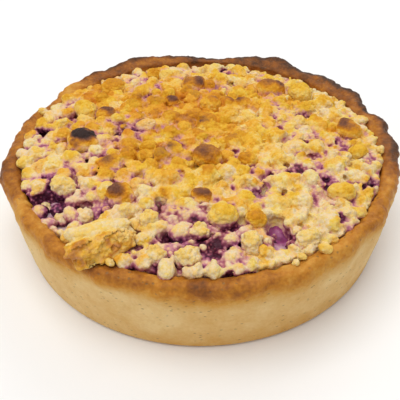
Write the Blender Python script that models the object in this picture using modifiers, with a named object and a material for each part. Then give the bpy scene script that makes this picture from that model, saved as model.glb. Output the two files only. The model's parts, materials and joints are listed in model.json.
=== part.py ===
"""Fruit kuchen: a small tart baked in its own pastry shell and covered with streusel.

A hand-pressed pastry shell holds a cooked berry filling up to just under its rim. A thin bed of streusel is
baked onto the filling, with its crumbs fused on and a few gaps where the filling shows. The largest crumbs, and
one broken slab that leans on the rim, lie loose on the bed. Units are metres and +Z is up. The origin is the
middle of the base, where the tart stands, and the side with the slab faces -Y.
"""

import math
import random

import bmesh
import bpy
from mathutils import Matrix, Vector

MM = 0.001
FIT_GAP = 0.3 * MM  # clearance that touching pieces keep

# Pastry shell
RIM_RADIUS = 57.0 * MM  # outer edge of the rim
RIM_HEIGHT = 25.6 * MM  # crown of the rim
RIM_WIDTH = 5.0 * MM
CROWN_SHARE = 0.45  # share of the rim's width from its outer edge in to its crown
RIM_DROP = 1.2 * MM  # how far the rim's inner edge lies under its crown
LIP_DROP = 3.0 * MM  # from the crown down to where the rim is widest
BASE_RADIUS = 53.9 * MM
WALL_BULGE = 0.6 * MM
BASE_ROUND = 1.7 * MM
FLOOR = 4.5 * MM
FLOOR_RADIUS = 48.3 * MM  # inside, where the floor meets the wall
SHELL_STEPS = 88

# Berry filling and streusel bed
BED_MIDDLE = 27.0 * MM  # top of the bed in the middle
BED_EDGE = 24.9 * MM  # top of the bed at the wall
BACK_DROP = 2.4 * MM  # how much lower the bed lies at the back wall
BACK_START = -0.2  # share of the bed's radius, forward of the middle, where it starts to fall to the back
BED_THICKNESS = 2.2 * MM
BED_STEPS = 40
BED_RINGS = (0.0, 0.4, 0.75, 1.0)  # shares of its radius
PIT_SIDES = 12
PIT_DEPTH = 12.0 * MM

# Crumbs
SEED = 11
CRUMB_TRIES = 9000
SMALLEST_CRUMB = 1.8 * MM
LARGEST_CRUMB = 4.3 * MM
CRUMB_SQUASH = 0.72  # height of a crumb over its width
CRUMB_RISE = 0.22  # share of a crumb's radius that its middle lies above the bed
CRUMB_SPREAD = 0.90  # share of two crumbs' radii that keeps their middles apart
FINE_CRUMB = 3.9 * MM  # crumbs of a larger radius have more faces
FINE_LUMP = 4.5 * MM  # so do lumps of a larger half width
LUMP_RISE = 0.20  # share of a lump's height that its middle lies above the bed
LUMP_HALF_HEIGHT = 0.6  # share of a lump's height that it would reach down from its middle, were it not seated

# The grains that a crumb is made of, for a crumb of radius 1
GRAINS = 7
GRAIN_OFFSETS = (0.30, 0.46)
GRAIN_RADII = (0.52, 0.64)
LEAST_REACH = 0.45

# Bumps and dents of the rim: azimuth and half width in degrees, outward and upward push in millimetres
RIM_BUMPS = (
    (2, 6, 1.6, 0.4),
    (12, 4, 2.1, 0.5),
    (19, 3, -0.2, -0.1),
    (29, 5, 2.7, 0.6),
    (42, 6, 2.6, 0.7),
    (61, 6, 2.9, 1.5),
    (71, 5, 1.3, 0.6),
    (84, 6, -0.7, -0.9),
    (112, 10, 1.6, 1.1),
    (121, 4, 0.6, 0.2),
    (131, 5, 0.9, 0.3),
    (141, 4, 1.1, 0.5),
    (151, 4, -1.25, -0.4),
    (171, 4, 0.6, 0.2),
    (190, 6, 1.6, 0.6),
    (201, 4, -0.5, 0.0),
    (214, 7, -0.7, 0.2),
    (251, 12, 0.3, 0.4),
    (286, 14, 0.4, -0.2),
    (317, 9, -0.6, 0.3),
    (335, 8, -0.35, 0.0),
    (351, 5, 0.7, 0.15),
)
SCALLOPS = 22
SCALLOP_PUSH = 0.35 * MM
PRESS_FLOOR = 6.0 * MM  # the pushes fade out down to this height

# Gaps in the bed where the filling shows: middle x and y, half length and half width in millimetres, and turn in
# degrees
PITS = (
    (-39.5, -28, 7.0, 5.0, -45),
    (-31.5, -31.5, 6.8, 5.6, 0),
    (19.3, -38.4, 6.2, 3.1, 95),
    (-8, -41, 3.6, 2.4, 60),
    (5, -43.2, 4.4, 1.8, 5),
    (-47.5, 6.5, 3.2, 2.2, -25),
    (32, 14, 4.0, 2.4, 15),
    (-23, 4, 3.4, 2.2, 0),
    (46, -18, 2.2, 1.8, 40),
    (-11, -29, 2.4, 1.7, -40),
    (16, -24.7, 2.0, 1.5, 20),
)

# Pale crumbs that lie in the filling of the front left gap: middle x and y, and radius, in millimetres
SUNK_CRUMBS = (
    (-41.5, -25.2, 1.8),
    (-36.6, -29.8, 2.1),
    (-30.9, -29.8, 2.8),
    (-38.8, -30.8, 1.4),
    (-33.6, -34.4, 1.6),
)
FINE_SUNK_CRUMB = 1.9  # sunk crumbs of a larger radius have more faces
SINK = 0.35  # share of a sunk crumb's radius that its middle lies above the filling

# Large loose crumbs: middle x and y, half width, half depth and height in millimetres, turn in degrees, bake
LUMPS = (
    ("scorched_crumb", -34.3, -1.3, 5.0, 4.6, 7.6, 10, "scorched"),
    ("browned_crumb_1", 2.2, -9.5, 4.7, 4.2, 7.0, 0, "browned"),
    ("browned_crumb_2", 3.1, 18.8, 3.4, 3.2, 5.4, 30, "browned"),
    ("browned_crumb_3", -8.8, 20.8, 2.9, 2.7, 4.8, 0, "browned"),
    ("browned_crumb_4", 22.9, 29.8, 4.8, 4.0, 6.4, 15, "browned"),
    ("browned_crumb_5", -2.1, 32.6, 4.4, 3.8, 6.2, -10, "browned"),
    ("browned_crumb_6", -28.9, 13.4, 3.4, 3.3, 5.6, 20, "browned"),
    ("browned_crumb_7", 44.2, 5.6, 4.1, 3.6, 5.8, -35, "browned"),
    ("browned_crumb_8", -21.5, -25.3, 3.9, 3.8, 6.4, 25, "browned"),
    ("browned_crumb_9", -0.2, -26.4, 3.1, 3.0, 5.2, 0, "browned"),
    ("golden_crumb_1", -15.9, 41.6, 2.6, 2.6, 5.4, 0, "golden"),
    ("golden_crumb_2", 13.8, -34.1, 3.0, 2.9, 4.8, 0, "golden"),
    ("golden_crumb_3", 12.9, -10.6, 3.1, 2.9, 4.8, -20, "golden"),
    ("golden_crumb_4", -15.6, -8.3, 2.9, 2.7, 4.6, 40, "golden"),
    ("golden_crumb_5", -29.0, 32.2, 4.4, 3.6, 5.8, 35, "golden"),
    ("yellow_crumb_1", 32.1, 27.4, 3.9, 3.8, 6.2, 0, "yellow"),
    ("yellow_crumb_2", -36.0, 16.7, 4.2, 4.0, 6.4, -15, "yellow"),
    ("yellow_crumb_3", 5.4, -33.8, 4.1, 3.9, 7.0, 0, "yellow"),
    ("yellow_crumb_4", 45.0, -5.1, 2.9, 2.6, 4.4, 20, "yellow"),
    ("yellow_crumb_5", 37.2, -23.8, 3.8, 3.4, 5.4, -30, "yellow"),
    ("pale_crumb_1", -36.9, -20.8, 3.8, 3.6, 6.4, 10, "pale"),
    ("pale_crumb_2", -3.4, -47.2, 3.4, 3.1, 5.4, 0, "pale"),
    ("pale_crumb_3", 12.2, -42.4, 2.9, 3.3, 5.4, 0, "pale"),
    ("pale_crumb_4", 26.4, -40.9, 3.8, 2.5, 4.4, 25, "pale"),
    ("pale_crumb_5", -13.2, -35.2, 2.6, 2.9, 5.8, 0, "pale"),
    ("pale_crumb_6", -11.0, -46.5, 3.0, 2.8, 4.8, 0, "pale"),
    ("pale_crumb_7", -0.8, -38.9, 3.0, 2.3, 4.6, 0, "pale"),
    ("stained_crumb", -16.5, 6.9, 3.4, 2.9, 4.8, 10, "stained"),
)

# Broken slab at the front left, which leans on the rim
SLAB_MIDDLE = Vector((-24.5, -43.7)) * MM
SLAB_LENGTH = 18.2 * MM
SLAB_DEPTH = 8.4 * MM
SLAB_HEIGHT = 6.8 * MM
SLAB_TURN = math.radians(26)
SLAB_TAPER = 0.24  # how much thicker than average it is at its outer end
SLAB_SQUARENESS = 0.8  # 0 is an egg and 1 a block with round corners
SLAB_LEAN = 0.16  # how far its top leans inward, as a share of its half depth
SLAB_SEED = 5
RIM_STEP = 1.5 * MM  # width over which what carries the slab rises from the bed to the rim

FINISHES = {
    "pastry": ((0.60, 0.36, 0.14), 0.72),
    "filling": ((0.20, 0.03, 0.14), 0.30),
    "bed": ((0.82, 0.62, 0.28), 0.80),
    "pale": ((0.86, 0.72, 0.42), 0.80),
    "yellow": ((0.84, 0.58, 0.16), 0.78),
    "golden": ((0.70, 0.38, 0.07), 0.75),
    "browned": ((0.50, 0.23, 0.06), 0.75),
    "scorched": ((0.10, 0.05, 0.04), 0.70),
    "stained": ((0.78, 0.45, 0.34), 0.70),
}


def clear_scene():
    """Removes the objects that the file opens with."""
    for thing in list(bpy.data.objects):
        bpy.data.objects.remove(thing, do_unlink=True)


def make_finish(name):
    """A material for one of the named finishes."""
    color, roughness = FINISHES[name]
    finish = bpy.data.materials.new(name)
    finish.use_nodes = True
    shader = finish.node_tree.nodes["Principled BSDF"]
    shader.inputs["Base Color"].default_value = (*color, 1.0)
    shader.inputs["Roughness"].default_value = roughness
    shader.inputs["Metallic"].default_value = 0.0
    return finish


def smooth_step(value):
    """Eases from 0 to 1 as the value goes from 0 to 1."""
    value = min(1.0, max(0.0, value))
    return value * value * (3.0 - 2.0 * value)


def rim_push(azimuth):
    """Outward and upward push of the rim at an azimuth, from its bumps and its shallow scallops."""
    outward = SCALLOP_PUSH * math.cos(SCALLOPS * azimuth)
    upward = 0.0
    for middle, half_width, out_mm, up_mm in RIM_BUMPS:
        away = math.remainder(azimuth - math.radians(middle), math.tau)
        share = math.exp(-((away / math.radians(half_width)) ** 2))
        outward += out_mm * MM * share
        upward += up_mm * MM * share
    return outward, upward


def press(point):
    """Moves a point of the shell as the baker's thumbs pushed it: outside its inner wall, and near the rim."""
    radius = math.hypot(point.x, point.y)
    near_wall = smooth_step((radius - RIM_RADIUS + RIM_WIDTH) / ((1.0 - CROWN_SHARE) * RIM_WIDTH))
    near_rim = smooth_step((point.z - PRESS_FLOOR) / (RIM_HEIGHT - PRESS_FLOOR))
    share = near_wall * near_rim
    if share == 0.0:
        return point.copy()
    azimuth = math.atan2(point.y, point.x)
    outward, upward = rim_push(azimuth)
    reach = radius + outward * share
    return Vector((reach * math.cos(azimuth), reach * math.sin(azimuth), point.z + upward * share))


def back_drop(y):
    """How much lower the bed and the filling lie towards the back."""
    share = y / (RIM_RADIUS - RIM_WIDTH)
    share = min(1.0, max(0.0, (share - BACK_START) / (1.0 - BACK_START)))
    return BACK_DROP * share * share


def bed_top(x, y):
    """Height of the bed's smooth top."""
    share = min(1.0, math.hypot(x, y) / (RIM_RADIUS - RIM_WIDTH))
    return BED_MIDDLE - (BED_MIDDLE - BED_EDGE) * share * share - back_drop(y)


def inner_wall(height):
    """Inner radius of the shell at a height."""
    share = (height - FLOOR) / (RIM_HEIGHT - RIM_DROP - FLOOR)
    return FLOOR_RADIUS + (RIM_RADIUS - RIM_WIDTH - FLOOR_RADIUS) * share


def arc(middle_r, middle_z, radius_r, radius_z, start, end, steps):
    """Profile points along an elliptic arc, from start to end in degrees."""
    angles = [math.radians(start + (end - start) * k / steps) for k in range(steps + 1)]
    return [(middle_r + radius_r * math.cos(a), middle_z + radius_z * math.sin(a)) for a in angles]


def turn(name, profile, steps, collection):
    """Screws a profile of (radius, height) round the Z axis, makes it a mesh and presses it."""
    mesh = bpy.data.meshes.new(name)
    edges = [(k, k + 1) for k in range(len(profile) - 1)]
    mesh.from_pydata([(r, 0.0, z) for r, z in profile], edges, [])
    guide = bpy.data.objects.new(name + "_profile", mesh)
    collection.objects.link(guide)
    screw = guide.modifiers.new("Turn", "SCREW")
    screw.axis = "Z"
    screw.steps = steps
    screw.render_steps = steps
    screw.use_merge_vertices = True
    screw.merge_threshold = 0.00001
    turned = made_mesh(guide)
    bpy.data.objects.remove(guide)
    turned.name = name
    for vertex in turned.vertices:
        vertex.co = press(vertex.co)
    return link(name, turned, collection)


def made_mesh(thing):
    """The mesh that an object's modifiers make of it."""
    graph = bpy.context.evaluated_depsgraph_get()
    return bpy.data.meshes.new_from_object(thing.evaluated_get(graph))


def link(name, mesh, collection):
    """An object that shows a mesh."""
    thing = bpy.data.objects.new(name, mesh)
    collection.objects.link(thing)
    return thing


def dress(thing, finish):
    """Gives an object its one finish and smooth shading with sharp creases kept."""
    thing.data.materials.clear()
    thing.data.materials.append(finish)
    thing.data.shade_smooth()
    thing.data.set_sharp_from_angle(angle=math.radians(60))


def build_shell(collection):
    """The pastry shell: floor, tapered wall and rounded rim in one piece."""
    crown = RIM_RADIUS - CROWN_SHARE * RIM_WIDTH
    inside = [(0.0, FLOOR), (0.6 * FLOOR_RADIUS, FLOOR), (FLOOR_RADIUS, FLOOR)]
    middle = 0.5 * RIM_HEIGHT
    inside += [(inner_wall(middle), middle), (RIM_RADIUS - RIM_WIDTH, RIM_HEIGHT - RIM_DROP)]
    rim_in = arc(crown, RIM_HEIGHT - RIM_DROP, (1.0 - CROWN_SHARE) * RIM_WIDTH, RIM_DROP, 140, 90, 2)
    rim_out = arc(crown, RIM_HEIGHT - LIP_DROP, RIM_RADIUS - crown, LIP_DROP, 65, 0, 3)
    under_lip = (0.5 * (BASE_RADIUS + RIM_RADIUS) + WALL_BULGE, 0.55 * RIM_HEIGHT)
    wall = [under_lip, (BASE_RADIUS, BASE_ROUND)]
    heel = arc(BASE_RADIUS - BASE_ROUND, BASE_ROUND, BASE_ROUND, BASE_ROUND, -30, -90, 2)
    profile = inside + rim_in + rim_out + wall + heel + [(0.0, 0.0)]
    return turn("pastry_shell", profile, SHELL_STEPS, collection)


def dome(name, lift, floor, collection):
    """A turned layer that fills the shell from the floor height up to the bed's top less the lift."""
    top_edge = BED_EDGE - lift
    edge_radius = inner_wall(top_edge) - FIT_GAP
    fall = BED_MIDDLE - BED_EDGE
    top = [(share * edge_radius, BED_MIDDLE - lift - fall * share * share) for share in BED_RINGS]
    if floor is None:
        under = [(r, z - BED_THICKNESS) for r, z in reversed(top[1:-1])]
        low = top_edge - BED_THICKNESS
        under = [(inner_wall(low) - FIT_GAP, low)] + under + [(0.0, BED_MIDDLE - lift - BED_THICKNESS)]
    else:
        under = [(inner_wall(floor) - FIT_GAP, floor), (0.0, floor)]
    layer = turn(name, top + under, BED_STEPS, collection)
    for vertex in layer.data.vertices:
        if vertex.co.z > 0.5 * RIM_HEIGHT:
            vertex.co.z -= back_drop(vertex.co.y)
            radius = math.hypot(vertex.co.x, vertex.co.y)
            shrink = min(1.0, (inner_wall(vertex.co.z) - FIT_GAP) / max(radius, FIT_GAP))
            vertex.co.x *= shrink
            vertex.co.y *= shrink
    return layer


def clump(name, half_sizes, rng, fineness, collection):
    """A crumb: an icosphere pushed out to the union of a few smaller balls, like grains stuck together."""
    grains = []
    for _ in range(GRAINS):
        offset = Vector((rng.uniform(-1, 1), rng.uniform(-1, 1), rng.uniform(-1, 1)))
        offset = offset.normalized() * rng.uniform(*GRAIN_OFFSETS)
        grains.append((offset, rng.uniform(*GRAIN_RADII)))
    shape = bmesh.new()
    bmesh.ops.create_icosphere(shape, subdivisions=fineness, radius=1.0)
    for vertex in shape.verts:
        way = vertex.co.normalized()
        reach = 0.0
        for offset, radius in grains:
            along = way.dot(offset)
            inside = radius * radius - offset.length_squared + along * along
            if inside > 0.0:
                reach = max(reach, along + math.sqrt(inside))
        vertex.co = way * max(reach, LEAST_REACH)
    for axis, half_size in enumerate(half_sizes):
        spread = [vertex.co[axis] for vertex in shape.verts]
        middle = 0.5 * (max(spread) + min(spread))
        stretch = 2.0 * half_size / (max(spread) - min(spread))
        for vertex in shape.verts:
            vertex.co[axis] = (vertex.co[axis] - middle) * stretch
    mesh = bpy.data.meshes.new(name)
    shape.to_mesh(mesh)
    shape.free()
    return link(name, mesh, collection)


def place(thing, x, y, z, turn_angle):
    """Moves a crumb to its place by changing its mesh, so that it can be seated on the bed."""
    thing.data.transform(Matrix.Translation((x, y, z)) @ Matrix.Rotation(turn_angle, 4, "Z"))


def seat(thing, support):
    """Raises the points of a piece that would lie in what carries it, which flattens its underside."""
    for vertex in thing.data.vertices:
        vertex.co.z = max(vertex.co.z, support(vertex.co.x, vertex.co.y) + FIT_GAP)


def build_lumps(finishes, collection):
    """The large loose crumbs, each seated on the bed."""
    for index, (name, x, y, wide, deep, high, turn_deg, bake) in enumerate(LUMPS):
        rng = random.Random(SEED + index)
        fineness = 3 if wide * MM > FINE_LUMP else 2
        half_sizes = (wide * MM, deep * MM, LUMP_HALF_HEIGHT * high * MM)
        lump = clump(name, half_sizes, rng, fineness, collection)
        height = bed_top(x * MM, y * MM) + LUMP_RISE * high * MM
        place(lump, x * MM, y * MM, height, math.radians(turn_deg))
        seat(lump, bed_top)
        dress(lump, finishes[bake])


def slab_support(x, y):
    """What the slab lies on: the bed, and past the wall the rim's crown."""
    upward = rim_push(math.atan2(y, x))[1]
    over_rim = smooth_step((math.hypot(x, y) - RIM_RADIUS + RIM_WIDTH) / RIM_STEP + 1.0)
    on_bed = bed_top(x, y)
    return on_bed + (RIM_HEIGHT + upward - on_bed) * over_rim


def build_slab(finish, collection):
    """The broken slab: a long squarish crumb, thick at its outer end, that leans outward over the rim."""
    half_sizes = (0.5 * SLAB_LENGTH, 0.5 * SLAB_DEPTH, 0.5 * SLAB_HEIGHT)
    slab = clump("broken_slab", half_sizes, random.Random(SLAB_SEED), 3, collection)
    for vertex in slab.data.vertices:
        share = Vector([c / half for c, half in zip(vertex.co, half_sizes)])
        bulge = share.length / sum(c**4 for c in share) ** 0.25
        share *= 1.0 + SLAB_SQUARENESS * (bulge - 1.0)
        taper = 1.0 - SLAB_TAPER * share.x
        vertex.co.x = half_sizes[0] * share.x
        vertex.co.y = half_sizes[1] * (share.y * taper + SLAB_LEAN * share.z)
        vertex.co.z = half_sizes[2] * share.z * taper
    place(slab, SLAB_MIDDLE.x, SLAB_MIDDLE.y, BED_EDGE + 0.5 * SLAB_HEIGHT, SLAB_TURN)
    seat(slab, slab_support)
    dress(slab, finish)


def in_slab(x, y, margin):
    """True where a crumb of that radius would reach the slab."""
    away = Matrix.Rotation(-SLAB_TURN, 2) @ (Vector((x, y)) - SLAB_MIDDLE)
    return abs(away.x) < 0.5 * SLAB_LENGTH + margin and abs(away.y) < 0.5 * SLAB_DEPTH + margin


def in_oval(x, y, oval, margin):
    """True where a crumb of that radius would reach an oval given in millimetres and degrees."""
    middle_x, middle_y, half_long, half_wide, turn_deg = oval
    away = Vector((x - middle_x * MM, y - middle_y * MM))
    away.rotate(Matrix.Rotation(-math.radians(turn_deg), 2))
    across = Vector((away.x / (half_long * MM + margin), away.y / (half_wide * MM + margin)))
    return across.length < 1.0


def crumb_places():
    """Middles and radii of the bed's fused crumbs, spread by seeded tries that start with the largest."""
    rng = random.Random(SEED)
    ovals = [(lump[1], lump[2], lump[3], lump[4], lump[6]) for lump in LUMPS]
    places = []
    for attempt in range(CRUMB_TRIES):
        reach = LARGEST_CRUMB - (LARGEST_CRUMB - SMALLEST_CRUMB) * math.sqrt(attempt / CRUMB_TRIES)
        distance = (RIM_RADIUS - RIM_WIDTH) * math.sqrt(rng.random())
        azimuth = rng.uniform(-math.pi, math.pi)
        x, y = distance * math.cos(azimuth), distance * math.sin(azimuth)
        if distance > RIM_RADIUS - RIM_WIDTH - reach - 2.0 * FIT_GAP - 0.6 * back_drop(y):
            continue
        if any(in_oval(x, y, pit, 0.4 * reach) for pit in PITS) or in_slab(x, y, reach + FIT_GAP):
            continue
        if any(in_oval(x, y, oval, reach + 2.0 * FIT_GAP) for oval in ovals):
            continue
        if any(math.hypot(x - a * MM, y - b * MM) < reach + (c + 0.6) * MM for a, b, c in SUNK_CRUMBS):
            continue
        if any(math.hypot(x - a, y - b) < CRUMB_SPREAD * (reach + c) for a, b, c in places):
            continue
        places.append((x, y, reach))
    return places


def unite(body, pieces):
    """Joins the pieces of a collection to a body with one Boolean, then removes them."""
    joint = body.modifiers.new("Join", "BOOLEAN")
    joint.operation = "UNION"
    joint.operand_type = "COLLECTION"
    joint.collection = pieces
    finish_boolean(body, pieces)


def cut(body, cutters):
    """Cuts the cutters of a collection from a body with one Boolean, then removes them."""
    gap = body.modifiers.new("Cut", "BOOLEAN")
    gap.operation = "DIFFERENCE"
    gap.operand_type = "COLLECTION"
    gap.collection = cutters
    finish_boolean(body, cutters)


def finish_boolean(body, operands):
    """Applies a body's one Boolean and removes the pieces that it used."""
    mesh = made_mesh(body)
    body.modifiers.clear()
    body.data = mesh
    for thing in list(operands.objects):
        bpy.data.objects.remove(thing, do_unlink=True)
    bpy.data.collections.remove(operands)


def working_collection(name):
    """A collection for pieces that a Boolean uses up."""
    made = bpy.data.collections.new(name)
    bpy.context.scene.collection.children.link(made)
    return made


def build_bed(finish, collection):
    """The streusel bed: a thin dome with gaps, and crumbs fused to it."""
    bed = dome("streusel_bed", 0.0, None, collection)
    cutters = working_collection("gaps")
    for index, (x, y, half_long, half_wide, turn_deg) in enumerate(PITS):
        shape = bmesh.new()
        bmesh.ops.create_cone(
            shape, cap_ends=True, segments=PIT_SIDES, radius1=1.0, radius2=1.0, depth=PIT_DEPTH
        )
        mesh = bpy.data.meshes.new(f"gap_{index}")
        shape.to_mesh(mesh)
        shape.free()
        cutter = link(f"gap_{index}", mesh, cutters)
        cutter.data.transform(Matrix.Diagonal((half_long * MM, half_wide * MM, 1.0, 1.0)))
        place(cutter, x * MM, y * MM, BED_MIDDLE, math.radians(turn_deg))
    cut(bed, cutters)
    crumbs = working_collection("crumbs")
    for index, (x, y, reach) in enumerate(crumb_places()):
        rng = random.Random(SEED + 1000 + index)
        half_sizes = (reach, reach * rng.uniform(0.8, 1.0), reach * CRUMB_SQUASH)
        fineness = 2 if reach > FINE_CRUMB else 1
        crumb = clump(f"crumb_{index}", half_sizes, rng, fineness, crumbs)
        place(crumb, x, y, bed_top(x, y) + CRUMB_RISE * reach, rng.uniform(0.0, math.tau))
    unite(bed, crumbs)
    dress(bed, finish)


def build_filling(finish, collection):
    """The berry filling: a domed disc with the pale crumbs of the front left gap fused to it."""
    filling = dome("berry_filling", BED_THICKNESS + FIT_GAP, FLOOR + FIT_GAP, collection)
    crumbs = working_collection("sunk_crumbs")
    for index, (x, y, radius) in enumerate(SUNK_CRUMBS):
        rng = random.Random(SEED + 2000 + index)
        half_sizes = (radius * MM, radius * MM, 0.9 * radius * MM)
        fineness = 2 if radius > FINE_SUNK_CRUMB else 1
        crumb = clump(f"sunk_{index}", half_sizes, rng, fineness, crumbs)
        top = bed_top(x * MM, y * MM) - BED_THICKNESS - FIT_GAP
        place(crumb, x * MM, y * MM, top + SINK * radius * MM, 0.0)
    unite(filling, crumbs)
    dress(filling, finish)


def main():
    """Builds the tart from its shell upward."""
    clear_scene()
    finishes = {name: make_finish(name) for name in FINISHES}
    tart = bpy.data.collections.new("fruit_kuchen")
    bpy.context.scene.collection.children.link(tart)
    dress(build_shell(tart), finishes["pastry"])
    build_filling(finishes["filling"], tart)
    build_bed(finishes["bed"], tart)
    build_lumps(finishes, tart)
    build_slab(finishes["pale"], tart)


main()
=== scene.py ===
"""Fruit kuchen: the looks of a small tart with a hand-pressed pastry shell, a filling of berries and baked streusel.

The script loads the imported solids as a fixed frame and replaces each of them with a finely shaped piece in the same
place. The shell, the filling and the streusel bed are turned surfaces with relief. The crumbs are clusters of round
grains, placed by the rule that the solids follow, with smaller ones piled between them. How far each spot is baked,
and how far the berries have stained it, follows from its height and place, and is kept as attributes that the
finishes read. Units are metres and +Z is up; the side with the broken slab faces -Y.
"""

from __future__ import annotations

import json
import logging
import math
import random
from dataclasses import dataclass, field
from enum import Enum

import bmesh
import bpy
import numpy as np
from mathutils import Matrix, Vector, kdtree

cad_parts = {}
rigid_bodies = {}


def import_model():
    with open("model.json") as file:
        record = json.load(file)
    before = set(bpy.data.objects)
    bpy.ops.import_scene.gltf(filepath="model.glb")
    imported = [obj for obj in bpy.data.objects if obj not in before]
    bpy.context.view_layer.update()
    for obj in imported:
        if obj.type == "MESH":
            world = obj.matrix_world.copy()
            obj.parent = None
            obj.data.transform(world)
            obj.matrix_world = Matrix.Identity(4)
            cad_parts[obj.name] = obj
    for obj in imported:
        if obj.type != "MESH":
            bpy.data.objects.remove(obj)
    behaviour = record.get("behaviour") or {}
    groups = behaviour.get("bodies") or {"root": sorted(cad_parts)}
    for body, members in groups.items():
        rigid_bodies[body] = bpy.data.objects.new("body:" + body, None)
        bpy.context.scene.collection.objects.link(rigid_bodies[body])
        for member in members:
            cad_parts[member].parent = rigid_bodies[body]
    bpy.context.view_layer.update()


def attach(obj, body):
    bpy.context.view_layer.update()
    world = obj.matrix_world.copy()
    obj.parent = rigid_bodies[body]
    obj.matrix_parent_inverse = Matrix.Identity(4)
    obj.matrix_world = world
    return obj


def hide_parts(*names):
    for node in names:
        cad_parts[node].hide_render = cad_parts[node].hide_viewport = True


Array = np.ndarray
Number = np.ndarray | float
Mesh = bpy.types.Mesh
Piece = bpy.types.Object
Rows = tuple[tuple[float, ...], ...]
Profile = list[tuple[float, float]]

LOG = logging.getLogger("fruit_kuchen")
BODY = "root"
MM = 0.001
FIT_GAP = 0.3 * MM
LATTICE = 32
SEED = 11

TOAST = "toast"  # Baking of a spot, from 0 for raw looking cream to 1 for charred
STAIN_AND_SHADE = "stain"  # Staining by the berries, with painted shade in low places, from 0 for none to 1 for deep purple
TINGE = "tinge"  # How lemon yellow a crumb is, from -1 for orange to 1
RELIEF = "relief"  # Share of the relief that a spot takes
KNOBS = "knobs"  # Share of its knobs that a spot takes
RISE = "rise"  # Height of a spot in its own crumb, from -1 at its underside to 1 at its top
KIND, SIZE, TURN = "kind", "size", "turn"  # Which shape a crumb has, its half sizes and its turn


class Bake(Enum):
    """How far a loose crumb is baked: the toast of its flanks, what its top has more, and how lemon yellow it is."""

    PALE = (0.03, 0.08, 0.2)
    YELLOW = (0.14, 0.12, 0.5)
    GOLDEN = (0.20, 0.20, 0.2)
    BROWNED = (0.19, 0.52, 0.0)
    SCORCHED = (0.19, 1.30, 0.0)
    STAINED = (0.05, 0.08, -0.6)


class Level(Enum):
    """How finely a crumb's shape is divided: the steps of its icosphere."""

    FINEST = 6
    FINE = 5
    MIDDLE = 4
    COARSE = 3
    LEAST = 2


# ---------------------------------------------------------------------------------------------------------------
# Numbers that vary over the tart


def smooth_step(values: Number, low: float = 0.0, span: Number = 1.0) -> Number:
    """Eases from 0 to 1 as the values go from low to low and a span."""
    share = np.clip((values - low) / span, 0.0, 1.0)
    return share * share * (3.0 - 2.0 * share)


def soft_noise(points: Array, size: float, seed: int) -> Array:
    """Smooth noise in space, from 0 to 1.

    Args:
        points: Places, one row each.
        size: Distance over which it changes, in millimetres.
        seed: Number that picks the pattern.

    Returns:
        The noise at each place.
    """
    lattice = np.random.default_rng(seed).random((LATTICE,) * 3)
    places = points / (size * MM)
    cell = np.floor(places).astype(int)
    share = smooth_step(places - cell)
    total = np.zeros(len(points))
    for corner in np.ndindex(2, 2, 2):
        weight = np.prod(np.where(np.array(corner, bool), share, 1.0 - share), axis=1)
        total += weight * lattice[tuple(((cell + corner) % LATTICE).T)]
    return total


def spots_at(spots: Rows, points: Array) -> Array:
    """The sum of a few soft round spots on the tart, seen from above.

    Args:
        spots: X, Y and half width in millimetres, and what the spot adds in its middle.
        points: Places, one row each.

    Returns:
        The sum at each place.
    """
    total = np.zeros(len(points))
    for x, y, radius, amount in spots:
        away = np.hypot(points[:, 0] - x * MM, points[:, 1] - y * MM) / (radius * MM)
        total += amount * np.exp(-away * away)
    return total


def stretch(azimuths: Array, middle: float, spread: float) -> Array:
    """How near each azimuth lies to a middle, 1 there and less past a spread; both are in degrees."""
    away = np.remainder(azimuths - math.radians(middle) + math.pi, math.tau) - math.pi
    return np.exp(-((away / math.radians(spread)) ** 2))


# Where the oven browned the streusel more, and less
# fmt: off
BAKED_SPOTS = (
    (-2, 2, 19, 0.17), (-2, 26, 17, 0.15), (22, 28, 11, 0.12), (-18, -10, 11, 0.10), (42, 6, 8, 0.10),
    (-33, 30, 11, 0.16), (12, -32, 5, 0.08), (-12, 10, 9, 0.08), (-38, 10, 18, 0.090), (-50, -3, 9, -0.14),
    (-47, 17, 6, -0.10), (0, -50, 15, -0.15), (-40, -27, 9, -0.08), (30, -38, 12, -0.10), (12, 42, 8, -0.08),
    (-25, 38, 7, -0.12), (-4, 45, 6, -0.10), (40, -14, 16, -0.015),
)
# Small tips of the crust that are browned
BROWNED_TIPS = (
    (-1.1, 7.5, 2.2, 0.42), (-9.4, -5.6, 2.0, 0.42), (11.5, 21, 2.6, 0.40), (-10.8, -26, 2.3, 0.40),
    (-26.5, -11.7, 2.0, 0.40), (-17.3, 42.2, 2.2, 0.40), (30.8, -8.7, 2.4, 0.36), (-18.2, 21.9, 2.0, 0.40),
)
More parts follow.
